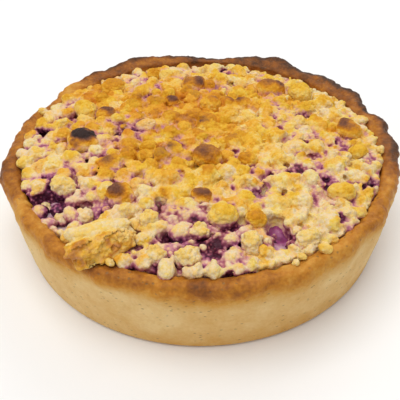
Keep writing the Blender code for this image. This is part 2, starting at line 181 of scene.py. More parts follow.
# Where the berries have bubbled up and stained the streusel
STAINED_SPOTS = (
    (-47.5, 7, 4.2, 1.0), (-8, 46, 5.0, 0.35), (26, 42, 4.0, 0.40), (-10, 42, 18, 0.16), (-42.5, 21.5, 3.6, 0.7),
    (-25, 40, 6.0, 0.7), (-21, 30, 4.5, 0.5), (-36, 31, 4.0, 0.4), (-21, 3, 4.8, 1.0), (-28.8, -1, 3.4, 0.5),
    (-24, -6, 3.2, 0.5), (-33.3, -11.8, 3.2, 0.8), (-41, -17, 3.5, 0.7), (-45, -22, 4.5, 0.9), (-37, -28, 8.5, 0.65),
    (-28.9, -31, 4.0, 0.6), (-16.2, -22.2, 3.4, 0.5), (-19.8, -17.9, 3.0, 0.4), (-11.5, -30, 3.6, 0.9),
    (-6.8, -34.5, 3.6, 0.7), (-7.5, -41, 4.5, 1.0), (-10, -50, 3.5, 0.6), (-6, -18, 2.4, 0.8), (0.5, -33, 3.2, 0.6),
    (3.4, -42.5, 5.0, 0.9), (9.8, -39, 3.2, 0.7), (8, -49, 3.2, 0.9), (11.5, -25, 2.6, 0.6), (15.5, -26, 2.7, 0.9),
    (19.3, -38, 4.3, 1.0), (34, -33.5, 3.3, 0.6), (35, -19.5, 2.5, 0.8), (45.8, -18.5, 2.8, 0.9),
    (48.5, -7.6, 2.3, 0.9), (27.8, -8.5, 2.7, 0.5), (27, -14.8, 3.1, 0.5), (16, -15, 2.7, 0.6), (20, -10.6, 3.1, 0.4),
    (19, 5.9, 2.8, 0.5), (12.8, 3.6, 2.5, 0.5), (32, 13.5, 3.6, 0.9), (41.5, 14.8, 2.5, 0.5), (16.4, 31, 2.5, 0.8),
)
# Where custard has mixed into the filling
CUSTARD_SPOTS = (
    (-37, -29, 10, 0.58), (22, -43, 5, 0.55), (8, -47, 5, 0.45), (-40, -20, 5, 0.25), (33, 13, 4, 0.30),
    (-25, 38, 6, 0.4),
)
# What the baker's thumbs did to the rim: azimuth and half width in degrees, and the push out and up in millimetres
DENTS = (
    (2, 6, 1.6, 0.4), (12, 4, 2.1, 0.5), (19, 3, -0.2, -0.1), (29, 5, 2.7, 0.6), (42, 6, 2.6, 0.7), (61, 6, 2.9, 1.5),
    (71, 5, 1.3, 0.6), (84, 6, -0.7, -0.9), (112, 10, 1.6, 1.1), (121, 4, 0.6, 0.2), (131, 5, 0.9, 0.3),
    (141, 4, 1.1, 0.5), (151, 4, -1.25, -0.4), (171, 4, 0.6, 0.2), (190, 6, 1.6, 0.6), (201, 4, -0.5, 0.0),
    (214, 7, -0.7, 0.2), (251, 12, 0.3, 0.4), (286, 14, 0.4, -0.2), (317, 9, -0.6, 0.3), (335, 8, -0.35, 0.0),
    (351, 5, 0.7, 0.15),
)
# How much more the rim is baked: azimuth and half width in degrees, then over its width and on its outer edge alone
BROWNINGS = (
    (-1, 9, 0.13, 0.32), (13, 7, 0.07, 0.24), (30, 11, 0.08, 0.52), (50, 12, 0.12, 0.42), (68, 10, 0.22, 0.42),
    (92, 13, 0.20, 0.30), (115, 9, 0.10, 0.34), (127, 9, 0.12, 0.26), (143, 8, -0.15, 0.0), (152, 6, 0.02, 0.10),
    (168, 10, 0.03, 0.07), (191, 7, 0.13, 0.04), (201, 5, 0.08, 0.0), (208, 6, -0.08, 0.0), (222, 9, -0.07, 0.0),
    (247, 9, 0.10, 0.0), (261, 4, -0.04, 0.0), (271, 6, 0.14, 0.0), (283, 5, 0.04, 0.0), (297, 9, -0.11, 0.0),
    (315, 12, -0.07, 0.0), (333, 8, -0.04, 0.0), (350, 7, 0.07, 0.0),
)
# fmt: on

# ---------------------------------------------------------------------------------------------------------------
# Shared forms


@dataclass(frozen=True)
class TartForm:
    """Sizes that the pieces of the tart share, and the forms that follow from them."""

    rim_radius: float = 57.0 * MM
    rim_height: float = 25.6 * MM
    rim_width: float = 5.0 * MM
    inner_radius: float = rim_radius - rim_width
    crown_radius: float = rim_radius - 0.45 * rim_width
    rim_drop: float = 1.2 * MM
    lip_drop: float = 3.0 * MM
    base_radius: float = 53.9 * MM
    base_round: float = 1.7 * MM
    wall_bulge: float = 0.6 * MM
    floor: float = 4.5 * MM
    floor_radius: float = 48.3 * MM
    press_floor: float = 6.0 * MM
    scallops: int = 22
    scallop_push: float = 0.35 * MM
    bed_middle: float = 27.0 * MM
    bed_edge: float = 24.9 * MM
    back_drop: float = 2.4 * MM
    back_start: float = -0.2
    bed_thickness: float = 2.2 * MM

    def rim_push(self, azimuths: Array) -> tuple[Array, Array]:
        """Outward and upward push of the rim.

        Args:
            azimuths: Angles round the Z axis, in radians.

        Returns:
            The outward and the upward push at each angle.
        """
        outward = self.scallop_push * np.cos(self.scallops * azimuths)
        upward = np.zeros_like(azimuths)
        for azimuth, spread, out, up in DENTS:
            share = stretch(azimuths, azimuth, spread)
            outward = outward + out * MM * share
            upward = upward + up * MM * share
        return outward, upward

    def dome(self, radius: Number) -> Number:
        """Height of the bed's top at a distance from its middle, before it falls to the back."""
        share = np.minimum(1.0, radius / self.inner_radius)
        return self.bed_middle - (self.bed_middle - self.bed_edge) * share * share

    def drop(self, y: Number) -> Number:
        """How much lower the bed and the filling lie towards the back."""
        share = np.clip((y / self.inner_radius - self.back_start) / (1.0 - self.back_start), 0.0, 1.0)
        return self.back_drop * share * share

    def bed_top(self, x: Number, y: Number) -> Number:
        """Height of the streusel bed's smooth top at each place."""
        return self.dome(np.hypot(x, y)) - self.drop(y)

    def filling_top(self, x: Number, y: Number) -> Number:
        """Height of the filling's smooth top at each place."""
        return self.bed_top(x, y) - self.bed_thickness - FIT_GAP

    def inner_wall(self, height: float) -> float:
        """Inner radius of the shell at a height."""
        share = (height - self.floor) / (self.rim_height - self.rim_drop - self.floor)
        return self.floor_radius + (self.inner_radius - self.floor_radius) * share


FORM = TartForm()


@dataclass(frozen=True)
class Oval:
    """An oval seen from above: its middle and half sizes in millimetres, and its turn about +Z in degrees."""

    x: float
    y: float
    half_long: float
    half_wide: float
    turn: float

    def reach(self, x: Number, y: Number, margin: float = 0.0) -> Number:
        """Distance from the middle, as a share of the distance to the edge.

        Args:
            x: Places along X.
            y: Places along Y.
            margin: How much wider the edge lies, in metres.

        Returns:
            The share at each place.
        """
        angle = math.radians(self.turn)
        away_x, away_y = x - self.x * MM, y - self.y * MM
        along = away_x * math.cos(angle) + away_y * math.sin(angle)
        across = away_y * math.cos(angle) - away_x * math.sin(angle)
        return np.hypot(along / (self.half_long * MM + margin), across / (self.half_wide * MM + margin))


@dataclass(frozen=True)
class Lump:
    """A large loose crumb: its solid, its outline from above, its height in millimetres and how far it is baked."""

    node: str
    outline: Oval
    height: float
    bake: Bake


# fmt: off
# Gaps of the bed that show the filling
PITS = tuple(Oval(*row) for row in (
    (-39.5, -28, 7.0, 5.0, -45), (-31.5, -31.5, 6.8, 5.6, 0), (19.3, -38.4, 6.2, 3.1, 95), (-8, -41, 3.6, 2.4, 60),
    (5, -43.2, 4.4, 1.8, 5), (-47.5, 6.5, 3.2, 2.2, -25), (32, 14, 4.0, 2.4, 15), (-23, 4, 3.4, 2.2, 0),
    (46, -18, 2.2, 1.8, 40), (-11, -29, 2.4, 1.7, -40), (16, -24.7, 2.0, 1.5, 20),
))
# Pale crumbs that lie in the filling, and small ones that fell on the rim: middle and radius in millimetres
SUNK = ((-41.5, -25.2, 1.8), (-36.6, -29.8, 2.1), (-30.9, -29.8, 2.8), (-38.8, -30.8, 1.4), (-33.6, -34.4, 1.6))
SPILLED = (
    (-49.6, 18.3, 1.5), (51.9, -3.6, 1.4), (30.0, -44.2, 1.7), (24.1, -46.7, 1.2), (22.5, -48.5, 1.0),
    (7.8, -50.7, 1.2), (-14.6, -48.4, 1.3), (-18.5, -46.8, 1.5), (-22.0, -48.5, 1.2),
)
# Middle, half sizes, turn and height of the lumps of each baking
LUMP_ROWS = {
    Bake.SCORCHED: ((-34.3, -1.3, 5.0, 4.6, 10, 7.6),),
    Bake.BROWNED: (
        (2.2, -9.5, 4.7, 4.2, 0, 7.0), (3.1, 18.8, 3.4, 3.2, 30, 5.4), (-8.8, 20.8, 2.9, 2.7, 0, 4.8),
        (22.9, 29.8, 4.8, 4.0, 15, 6.4), (-2.1, 32.6, 4.4, 3.8, -10, 6.2), (-28.9, 13.4, 3.4, 3.3, 20, 5.6),
        (44.2, 5.6, 4.1, 3.6, -35, 5.8), (-21.5, -25.3, 3.9, 3.8, 25, 6.4), (-0.2, -26.4, 3.1, 3.0, 0, 5.2),
    ),
    Bake.GOLDEN: (
        (-15.9, 41.6, 2.6, 2.6, 0, 5.4), (13.8, -34.1, 3.0, 2.9, 0, 4.8), (12.9, -10.6, 3.1, 2.9, -20, 4.8),
        (-15.6, -8.3, 2.9, 2.7, 40, 4.6), (-29.0, 32.2, 4.4, 3.6, 35, 5.8),
    ),
    Bake.YELLOW: (
        (32.1, 27.4, 3.9, 3.8, 0, 6.2), (-36.0, 16.7, 4.2, 4.0, -15, 6.4), (5.4, -33.8, 4.1, 3.9, 0, 7.0),
        (45.0, -5.1, 2.9, 2.6, 20, 4.4), (37.2, -23.8, 3.8, 3.4, -30, 5.4),
    ),
    Bake.PALE: (
        (-36.9, -20.8, 3.8, 3.6, 10, 6.4), (-3.4, -47.2, 3.4, 3.1, 0, 5.4), (12.2, -42.4, 2.9, 3.3, 0, 5.4),
        (26.4, -40.9, 3.8, 2.5, 25, 4.4), (-13.2, -35.2, 2.6, 2.9, 0, 5.8), (-11.0, -46.5, 3.0, 2.8, 0, 4.8),
        (-0.8, -38.9, 3.0, 2.3, 0, 4.6),
    ),
    Bake.STAINED: ((-16.5, 6.9, 3.4, 2.9, 10, 4.8),),
}
# fmt: on
LUMPS = tuple(
    Lump(f"{bake.name.lower()}_crumb" + (f"_{k + 1}" if len(rows) > 1 else ""), Oval(*row[:5]), row[5], bake)
    for bake, rows in LUMP_ROWS.items()
    for k, row in enumerate(rows)
)

# ---------------------------------------------------------------------------------------------------------------
# Mesh helpers


def link(name: str, mesh: Mesh) -> Piece:
    """A new piece at the origin that shows a mesh.

    Args:
        name: Name of the piece.
        mesh: Its mesh.

    Returns:
        The piece, in the scene.
    """
    mesh.name = name
    piece = bpy.data.objects.new(name, mesh)
    bpy.context.scene.collection.objects.link(piece)
    return piece


def modify(piece: Piece, kind: str, **settings: object) -> bpy.types.Modifier:
    """Gives a piece a modifier.

    Args:
        piece: The piece.
        kind: Blender's name for the kind of modifier.
        settings: Values of its properties.

    Returns:
        The modifier.
    """
    modifier = piece.modifiers.new(kind.title(), kind)
    for name, value in settings.items():
        setattr(modifier, name, value)
    return modifier


def apply_modifiers(piece: Piece) -> None:
    """Turns a piece's modifiers into a plain mesh with smooth shading.

    Args:
        piece: The piece.
    """
    mesh = bpy.data.meshes.new_from_object(piece.evaluated_get(bpy.context.evaluated_depsgraph_get()))
    mesh.shade_smooth()
    piece.modifiers.clear()
    old, piece.data = piece.data, mesh
    mesh.name = piece.name
    bpy.data.meshes.remove(old)


def corners(mesh: Mesh) -> Array:
    """The places of a mesh's points, one row each."""
    flat = np.empty(len(mesh.vertices) * 3, np.float32)
    mesh.vertices.foreach_get("co", flat)
    return flat.reshape(-1, 3).astype(float)


def move_corners(mesh: Mesh, points: Array) -> None:
    """Moves a mesh's points to new places, one row each."""
    mesh.vertices.foreach_set("co", points.astype(np.float32).ravel())
    mesh.update()


def read_values(mesh: Mesh, name: str) -> Array:
    """The numbers of a mesh's attribute, one for each point."""
    flat = np.empty(len(mesh.vertices), np.float32)
    mesh.attributes[name].data.foreach_get("value", flat)
    return flat.astype(float)


def store_values(mesh: Mesh, name: str, values: Number) -> None:
    """Keeps one number for each point of a mesh, or the same one for all, as a named attribute."""
    attribute = mesh.attributes.get(name) or mesh.attributes.new(name, "FLOAT", "POINT")
    attribute.data.foreach_set("value", np.array(np.broadcast_to(values, len(mesh.vertices)), np.float32))


def turned(name: str, profile: Profile, steps: int) -> Piece:
    """A closed shape turned round the Z axis.

    Args:
        name: Name of the piece.
        profile: Radius and height of the points of its outline, from the axis over the top to the axis below.
        steps: Number of steps round the axis.

    Returns:
        The piece, with a plain mesh.
    """
    mesh = bpy.data.meshes.new(name)
    mesh.from_pydata([(r, 0.0, z) for r, z in profile], [(k, k + 1) for k in range(len(profile) - 1)], [])
    piece = link(name, mesh)
    modify(piece, "SCREW", steps=steps, render_steps=steps, use_merge_vertices=True, merge_threshold=0.000001)
    apply_modifiers(piece)
    return piece


def arc(middle: tuple[float, float], radii: tuple[float, float], ends: tuple[float, float], steps: int) -> Profile:
    """Points of a profile along an elliptic arc.

    Args:
        middle: Radius and height of the arc's middle.
        radii: Its half sizes outward and upward.
        ends: Its start and end angles, in degrees.
        steps: Number of steps.

    Returns:
        Radius and height of each point.
    """
    angles = np.radians(np.linspace(ends[0], ends[1], steps + 1))
    return [(middle[0] + radii[0] * math.cos(a), middle[1] + radii[1] * math.sin(a)) for a in angles]


def divided(profile: Profile, longest: float) -> Profile:
    """A profile with its long steps divided.

    Args:
        profile: Radius and height of each point.
        longest: Longest step that stays whole.

    Returns:
        The profile with points added on its long steps.
    """
    fine = [profile[0]]
    for start, end in zip(profile, profile[1:]):
        parts = max(1, math.ceil(math.dist(start, end) / longest))
        fine += [tuple(np.add(start, np.subtract(end, start) * k / parts)) for k in range(1, parts + 1)]
    return fine


def keep_largest(mesh: Mesh) -> None:
    """Deletes every loose part of a mesh but the largest.

    Args:
        mesh: The mesh.
    """
    shape = bmesh.new()
    shape.from_mesh(mesh)
    left, parts = set(shape.verts), []
    while left:
        part = {left.pop()}
        front = list(part)
        while front:
            near = {corner for edge in front.pop().link_edges for corner in edge.verts} & left
            left -= near
            part |= near
            front += near
        parts.append(part)
    largest = max(parts, key=len)
    bmesh.ops.delete(shape, geom=[corner for corner in shape.verts if corner not in largest], context="VERTS")
    shape.to_mesh(mesh)
    shape.free()


# ---------------------------------------------------------------------------------------------------------------
# Node trees and finishes


class NodeTree:
    """A node tree that is written from left to right, one node a call. A value is a number, a colour or a socket."""

    def __init__(self, tree: bpy.types.NodeTree) -> None:
        """Starts with an existing tree, which loses the nodes that it has."""
        self.tree = tree
        tree.nodes.clear()

    def add(self, kind: str, inputs: dict | None = None, **settings: object) -> bpy.types.Node:
        """Adds a node.

        Args:
            kind: Blender's name for the kind of node.
            inputs: Values for its inputs, by name or by number.
            settings: Values of its properties.

        Returns:
            The node.
        """
        node = self.tree.nodes.new(kind)
        for name, value in settings.items():
            setattr(node, name, value)
        for key, value in (inputs or {}).items():
            if isinstance(value, bpy.types.NodeSocket):
                self.tree.links.new(value, node.inputs[key])
            else:
                node.inputs[key].default_value = value
        node.location = (200 * len(self.tree.nodes), 0)
        return node

    def math(self, operation: str, first: object, second: object) -> object:
        """The result of an operation on two numbers."""
        return self.add("ShaderNodeMath", {0: first, 1: second}, operation=operation).outputs[0]

    def total(self, start: object, *terms: tuple[object, object], clamp: bool = False) -> object:
        """A number and some products.

        Args:
            start: The number.
            terms: The two factors of each product.
            clamp: Whether the result stays between 0 and 1.

        Returns:
            The socket with the sum.
        """
        for index, (first, second) in enumerate(terms, 1):
            settings = {"operation": "MULTIPLY_ADD", "use_clamp": clamp and index == len(terms)}
            start = self.add("ShaderNodeMath", {0: first, 1: second, 2: start}, **settings).outputs[0]
        return start

    def noise(self, place: object, size: float, detail: float) -> object:
        """Noise round 0 at a place, with a size in millimetres and a number of finer layers."""
        inputs = {"Vector": place, "Scale": 1.0 / (size * MM), "Detail": detail}
        return self.math("SUBTRACT", self.add("ShaderNodeTexNoise", inputs).outputs[0], 0.5)

    def mix(self, share: object, first: object, second: object) -> object:
        """A mix of two colours, with a share of the second."""
        return self.add("ShaderNodeMix", {0: share, 6: first, 7: second}, data_type="RGBA").outputs[2]

    def tinged(self, color: object, value: object, factor: float) -> object:
        """A colour with its hue moved by a value times a factor, towards yellow where that is above 0."""
        return self.add("ShaderNodeHueSaturation", {"Hue": self.total(0.5, (value, factor)), "Color": color}).outputs[0]

    def ramp(self, share: object, stops: tuple) -> object:
        """A colour that goes through several stops.

        Args:
            share: The value that picks the colour.
            stops: Places from 0 to 1, each with its colour.

        Returns:
            The socket with the colour.
        """
        node = self.add("ShaderNodeValToRGB", {0: share})
        elements = node.color_ramp.elements
        while len(elements) < len(stops):
            elements.new(0.5)
        for element, (place, color) in zip(elements, stops):
            element.position = place
            element.color = (*color, 1.0)
        return node.outputs[0]

    def band(self, value: object, low: float, high: float) -> object:
        """A number that goes from 0 to 1 as a value goes from low to high."""
        return self.add("ShaderNodeMapRange", {0: value, 1: low, 2: high}, interpolation_type="SMOOTHSTEP").outputs[0]

    def kept(self, name: str) -> object:
        """The attribute that a piece keeps under a name."""
        return self.add("ShaderNodeAttribute", attribute_name=name).outputs["Fac"]


@dataclass(frozen=True)
class Finish:
    """What the tart's finishes have in common.

    Attributes:
        name: Name of the material.
        slot: Slot of the record that it belongs to.
        roughness: Roughness of its plain parts.
        grain_height: Depth of its finest relief, in metres.
        softness: Share of the light that goes in.
        gloss: Weight of the clear coat.
    """

    name: str
    slot: str
    roughness: float
    grain_height: float
    softness: float
    gloss: float = 0.0

    def material(self) -> bpy.types.Material:
        """The finish's material, made once."""
        made = bpy.data.materials.get(self.name)
        if made is None:
            made = bpy.data.materials.new(self.name)
            made.use_nodes = True
            nodes = NodeTree(made.node_tree)
            color, roughness, height = self.paint(nodes, nodes.add("ShaderNodeTexCoord").outputs["Object"])
            bump = nodes.add("ShaderNodeBump", {"Height": height, "Distance": self.grain_height, "Strength": 1.0})
            shader = nodes.add(
                "ShaderNodeBsdfPrincipled",
                {
                    "Base Color": color,
                    "Roughness": roughness,
                    "Normal": bump.outputs[0],
                    "Subsurface Weight": self.softness,
                    "Subsurface Radius": (1.0, 0.55, 0.25),
                    "Subsurface Scale": 1.2 * MM,
                    "Specular IOR Level": 0.20,
                    "Coat Weight": self.gloss,
                    "Coat Roughness": 0.25,
                },
            )
            nodes.add("ShaderNodeOutputMaterial", {"Surface": shader.outputs[0]})
        return made

    def paint(self, nodes: NodeTree, place: object) -> tuple[object, object, object]:
        """Adds the finish's own nodes.

        Args:
            nodes: The tree.
            place: The socket with object coordinates.

        Returns:
            The sockets with the colour, the roughness and the height of the finest relief.
        """
        raise NotImplementedError


@dataclass(frozen=True)
class StreuselFinish(Finish):
    """Baked streusel: cream where it is pale, buttery yellow, golden, brown and charred where it is baked more, and
    pink to purple where the berries have stained it and where shade is painted into its creases."""

    shift: float = 0.016
    bit_size: float = 1.0 * MM
    baking: tuple = (  # fmt: skip
        (0.00, (0.77, 0.61, 0.385)), (0.10, (0.79, 0.535, 0.155)), (0.22, (0.76, 0.41, 0.032)),
        (0.36, (0.62, 0.25, 0.008)), (0.50, (0.40, 0.148, 0.020)), (0.68, (0.17, 0.062, 0.032)),
        (0.90, (0.035, 0.018, 0.016)),
    )
    # Tones of the berry staining, which the painted shade in the creases takes as well
    staining: tuple = (  # fmt: skip
        (0.00, (0.80, 0.57, 0.40)), (0.28, (0.70, 0.37, 0.32)), (0.52, (0.42, 0.135, 0.19)),
        (0.76, (0.19, 0.032, 0.080)), (1.00, (0.062, 0.008, 0.028)),
    )

    def paint(self, nodes: NodeTree, place: object) -> tuple[object, object, object]:
        """The baking, the staining, and bits of a millimetre with creases between them, into which the staining spreads
        as painted shade, as Finish.paint says.
        """
        stain = nodes.kept(STAIN_AND_SHADE)
        patch, fleck = nodes.noise(place, 2.2, 3.0), nodes.noise(place, 0.55, 2.0)
        inputs = {"Vector": place, "Scale": 1.0 / self.bit_size, "Smoothness": 0.3}
        bits = nodes.add("ShaderNodeTexVoronoi", inputs, feature="SMOOTH_F1").outputs
        own = nodes.math("SUBTRACT", nodes.add("ShaderNodeSeparateColor", {0: bits["Color"]}).outputs[0], 0.5)
        crease = nodes.math("SUBTRACT", bits["Distance"], 0.45)
        baked = nodes.total(nodes.kept(TOAST), (patch, 0.17), (own, 0.08), (fleck, 0.15), clamp=True)
        dough = nodes.tinged(nodes.ramp(baked, self.baking), nodes.kept(TINGE), self.shift)
        # Painted shade: the staining spreads further into the creases between the bits, where shade falls
        wet_and_shaded = nodes.total(0.0, (stain, nodes.total(1.0, (patch, 1.6), (crease, 1.2))), clamp=True)
        berry_and_shade_color = nodes.tinged(nodes.ramp(wet_and_shaded, self.staining), nodes.noise(place, 8.0, 1.0), 0.12)
        color = nodes.mix(nodes.band(wet_and_shaded, 0.05, 0.45), dough, berry_and_shade_color)
        height = nodes.total(0.0, (nodes.noise(place, 0.7, 4.0), 0.7), (fleck, 0.4), (crease, -1.0))
        return color, nodes.total(self.roughness, (wet_and_shaded, -0.30)), height


@dataclass(frozen=True)
class PastryFinish(Finish):
    """Shortcrust: straw coloured on the wall with tiny specks, golden brown to nearly black on the rim."""

    baking: tuple = (  # fmt: skip
        (0.00, (0.77, 0.54, 0.24)), (0.20, (0.67, 0.40, 0.130)), (0.38, (0.61, 0.30, 0.050)),
        (0.52, (0.49, 0.190, 0.018)), (0.68, (0.28, 0.090, 0.012)), (0.84, (0.10, 0.037, 0.012)),
        (1.00, (0.022, 0.013, 0.011)),
    )
    pore_size: float = 1.7 * MM
    pore_color: tuple = (0.20, 0.13, 0.06, 1.0)

    def paint(self, nodes: NodeTree, place: object) -> tuple[object, object, object]:
        """The baking, blotches, pores, and the crackle and buttery shine of the rim, as Finish.paint says. The
        crackle's dents are painted darker as shade.
        """
        toast = nodes.kept(TOAST)
        blotch, fine = nodes.noise(place, 4.5, 3.0), nodes.noise(place, 0.8, 4.0)
        crackle = nodes.math("MULTIPLY", nodes.noise(place, 2.4, 5.0), nodes.band(toast, 0.25, 0.50))
        # Partly the rim's own mottling, partly painted shade in the crackle's dents and highlight on its ridges
        baked = nodes.total(toast, (blotch, 0.30), (fine, 0.20), (crackle, 0.36), clamp=True)
        squash = nodes.add("ShaderNodeVectorMath", {0: place, 1: (1.0, 1.0, 1.9)}, operation="MULTIPLY").outputs[0]
        cell = nodes.add("ShaderNodeTexVoronoi", {"Vector": squash, "Scale": 1.0 / self.pore_size}).outputs
        chosen, near = nodes.band(cell["Color"], 0.62, 0.70), nodes.band(cell["Distance"], 0.30, 0.12)
        pore = nodes.math("MULTIPLY", nodes.math("MULTIPLY", chosen, near), 0.55)
        color = nodes.mix(pore, nodes.ramp(baked, self.baking), self.pore_color)
        height = nodes.total(0.0, (fine, 0.9), (pore, -0.8), (crackle, -1.6))
        return color, nodes.total(self.roughness, (nodes.band(toast, 0.30, 0.55), -0.22)), height


@dataclass(frozen=True)
class FillingFinish(Finish):
    """Cooked berries: deep purple and glossy, with magenta juice and lavender where custard has mixed in."""

    tones: tuple = (  # fmt: skip
        (0.00, (0.055, 0.010, 0.040)), (0.40, (0.15, 0.020, 0.080)), (0.62, (0.33, 0.060, 0.20)),
        (0.80, (0.50, 0.22, 0.34)), (1.00, (0.68, 0.50, 0.50)),
    )

    def paint(self, nodes: NodeTree, place: object) -> tuple[object, object, object]:
        """The tones and the glossy shine, as Finish.paint says. The attribute for baking holds the custard's share."""
        custard = nodes.kept(TOAST)
        color = nodes.ramp(nodes.total(custard, (nodes.noise(place, 3.0, 3.0), 0.9), clamp=True), self.tones)
        return color, nodes.total(self.roughness, (custard, 0.25)), nodes.noise(place, 0.9, 3.0)


PASTRY = PastryFinish("baked_pastry", "pastry", 0.72, 0.28 * MM, 0.10)
STREUSEL = StreuselFinish("baked_streusel", "bed", 0.67, 0.34 * MM, 0.15)
FILLING = FillingFinish("berry_filling_cooked", "filling", 0.28, 0.35 * MM, 0.12, 0.25)


@dataclass(frozen=True)
class PieceTree:
    """A Geometry Nodes tree that makes a piece and gives it its finish.

    Attributes:
        name: Name of the tree.
        inputs: Name and kind of its inputs, apart from the geometry and the finish.
    """

    name: str
    inputs: tuple[tuple[str, str], ...]

    def build(self) -> bpy.types.NodeTree:
        """The tree, made once."""
        made = bpy.data.node_groups.get(self.name)
        if made is None:
            made = bpy.data.node_groups.new(self.name, "GeometryNodeTree")
            for label, kind in (("Geometry", "Geometry"), *self.inputs, ("Finish", "Material")):
                made.interface.new_socket(label, in_out="INPUT", socket_type="NodeSocket" + kind)
            made.interface.new_socket("Geometry", in_out="OUTPUT", socket_type="NodeSocketGeometry")
            nodes = NodeTree(made)
            given = nodes.add("NodeGroupInput").outputs
            whole = nodes.add("GeometryNodeRealizeInstances", {0: self.shape(nodes, given)}).outputs[0]
            dressed = nodes.add("GeometryNodeSetMaterial", {"Geometry": whole, "Material": given["Finish"]})
            nodes.add("NodeGroupOutput", {0: dressed.outputs[0]})
        return made

    def shape(self, nodes: NodeTree, given: dict) -> object:
        """Adds the tree's own nodes.

        Args:
            nodes: The tree.
            given: The sockets with its inputs, by name.

        Returns:
            The socket with the geometry.
        """
        raise NotImplementedError

    def run(self, piece: Piece, values: dict) -> None:
        """Runs the tree on a piece and keeps the result as its plain mesh.

        Args:
            piece: The piece.
            values: The tree's inputs by name.
        """
        tree = self.build()
        modifier = modify(piece, "NODES", node_group=tree)
        for item in tree.interface.items_tree:
            if item.in_out == "INPUT" and item.name in values:
                modifier[item.identifier] = values[item.name]
        apply_modifiers(piece)


@dataclass(frozen=True)
class ReliefTree(PieceTree):
    """The tree that raises and sinks a surface by lumps, grains and knobs."""

    def shape(self, nodes: NodeTree, given: dict) -> object:
        """Pushes the surface along its normal, as PieceTree.shape says."""
        lumps, grains = self.layer(nodes, given, "Lump"), self.layer(nodes, given, "Grain")
        knobs = self.layer(nodes, given, "Knob")
        share = nodes.add("GeometryNodeInputNamedAttribute", {"Name": RELIEF}).outputs[0]
        knobby = nodes.add("GeometryNodeInputNamedAttribute", {"Name": KNOBS}).outputs[0]
        height = nodes.math("ADD", nodes.math("ADD", lumps, grains), nodes.math("MULTIPLY", knobs, knobby))
        height = nodes.math("MULTIPLY", height, share)
        normal = nodes.add("GeometryNodeInputNormal").outputs[0]
        push = nodes.add("ShaderNodeVectorMath", {0: normal, "Scale": height}, operation="SCALE").outputs[0]
        return nodes.add("GeometryNodeSetPosition", {"Geometry": given["Geometry"], "Offset": push}).outputs[0]

    @staticmethod
    def layer(nodes: NodeTree, given: dict, label: str) -> object:
        """One layer of relief: noise, or for the knobs rounded cells with creases between them.

        Args:
            nodes: The tree.
            given: The sockets with its inputs, by name.
            label: Which layer it is.

        Returns:
            The socket with the push along the normal, in metres.
        """
        inputs = {"Scale": nodes.math("DIVIDE", 1.0, given[label + " Size"]), "W": given["Seed"]}
        if label == "Knob":
            settings = {"voronoi_dimensions": "4D", "feature": "SMOOTH_F1"}
            away = nodes.add("ShaderNodeTexVoronoi", {**inputs, "Smoothness": 0.25}, **settings).outputs["Distance"]
            level = nodes.math("SUBTRACT", 0.5, away)
        else:
            noise = nodes.add("ShaderNodeTexNoise", {**inputs, "Detail": 2.0}, noise_dimensions="4D").outputs[0]
            level = nodes.math("SUBTRACT", noise, 0.5)
        return nodes.math("MULTIPLY", level, nodes.math("MULTIPLY", given[label + " Height"], 2.0))


@dataclass(frozen=True)
class ScatterTree(PieceTree):
    """The tree that puts a crumb on each point, with the shape, size and turn that the point holds."""

    def shape(self, nodes: NodeTree, given: dict) -> object:
        """Puts the crumbs on their points, as PieceTree.shape says."""
        points = nodes.add("GeometryNodeMeshToPoints", {0: given["Geometry"]}).outputs[0]
        inputs = {"Collection": given["Shapes"], "Separate Children": True, "Reset Children": True}
        crumbs = {"Points": points, "Instance": nodes.add("GeometryNodeCollectionInfo", inputs).outputs[0]}
        crumbs["Pick Instance"] = True
        for socket, name in (("Instance Index", KIND), ("Rotation", TURN), ("Scale", SIZE)):
            data_type = "INT" if name == KIND else "FLOAT_VECTOR"
            named = nodes.add("GeometryNodeInputNamedAttribute", {"Name": name}, data_type=data_type)
            crumbs[socket] = named.outputs[0]
        return nodes.add("GeometryNodeInstanceOnPoints", crumbs).outputs[0]


RELIEF_LAYERS = ("Lump", "Grain", "Knob")
RELIEF_TREE = ReliefTree(
    "dough_relief",
    (*((f"{label} {what}", "Float") for label in RELIEF_LAYERS for what in ("Size", "Height")), ("Seed", "Float")),
)
SCATTER_TREE = ScatterTree("crumb_scatter", (("Shapes", "Collection"),))


@dataclass(frozen=True)
class Relief:
    """A piece's relief: the width and height of its lumps, grains and knobs in millimetres, and a seed."""

    lumps: tuple[float, float]
    grains: tuple[float, float]
    knobs: tuple[float, float] = (1.5, 0.0)
    seed: float = 0.0

    def apply(self, piece: Piece, finish: Finish, mask: Number = 1.0, knobby: Number = 1.0) -> None:
        """Gives a piece its relief and finish, and makes it a plain mesh.

        Args:
            piece: The piece.
            finish: Its finish.
            mask: Share of the relief that each point takes.
            knobby: Share of its knobs that each point takes.
        """
        store_values(piece.data, RELIEF, mask)
        store_values(piece.data, KNOBS, knobby)
        values = {"Seed": self.seed, "Finish": finish.material()}
        for label, (size, height) in zip(RELIEF_LAYERS, (self.lumps, self.grains, self.knobs)):
            values[label + " Size"] = size * MM
            values[label + " Height"] = height * MM
        RELIEF_TREE.run(piece, values)


def mount(piece: Piece, slot: str, *nodes: str) -> None:
    """Hangs a finished piece on the tart's body and reports it.

    Args:
        piece: The piece.
        slot: Slot of the record that its finish belongs to; not used.
        nodes: Solids that it stands for.
    """
    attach(piece, BODY)
    if nodes:
        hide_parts(*nodes)
    LOG.info("%s: %d faces", piece.name, len(piece.data.polygons))


# ---------------------------------------------------------------------------------------------------------------
# Crumbs


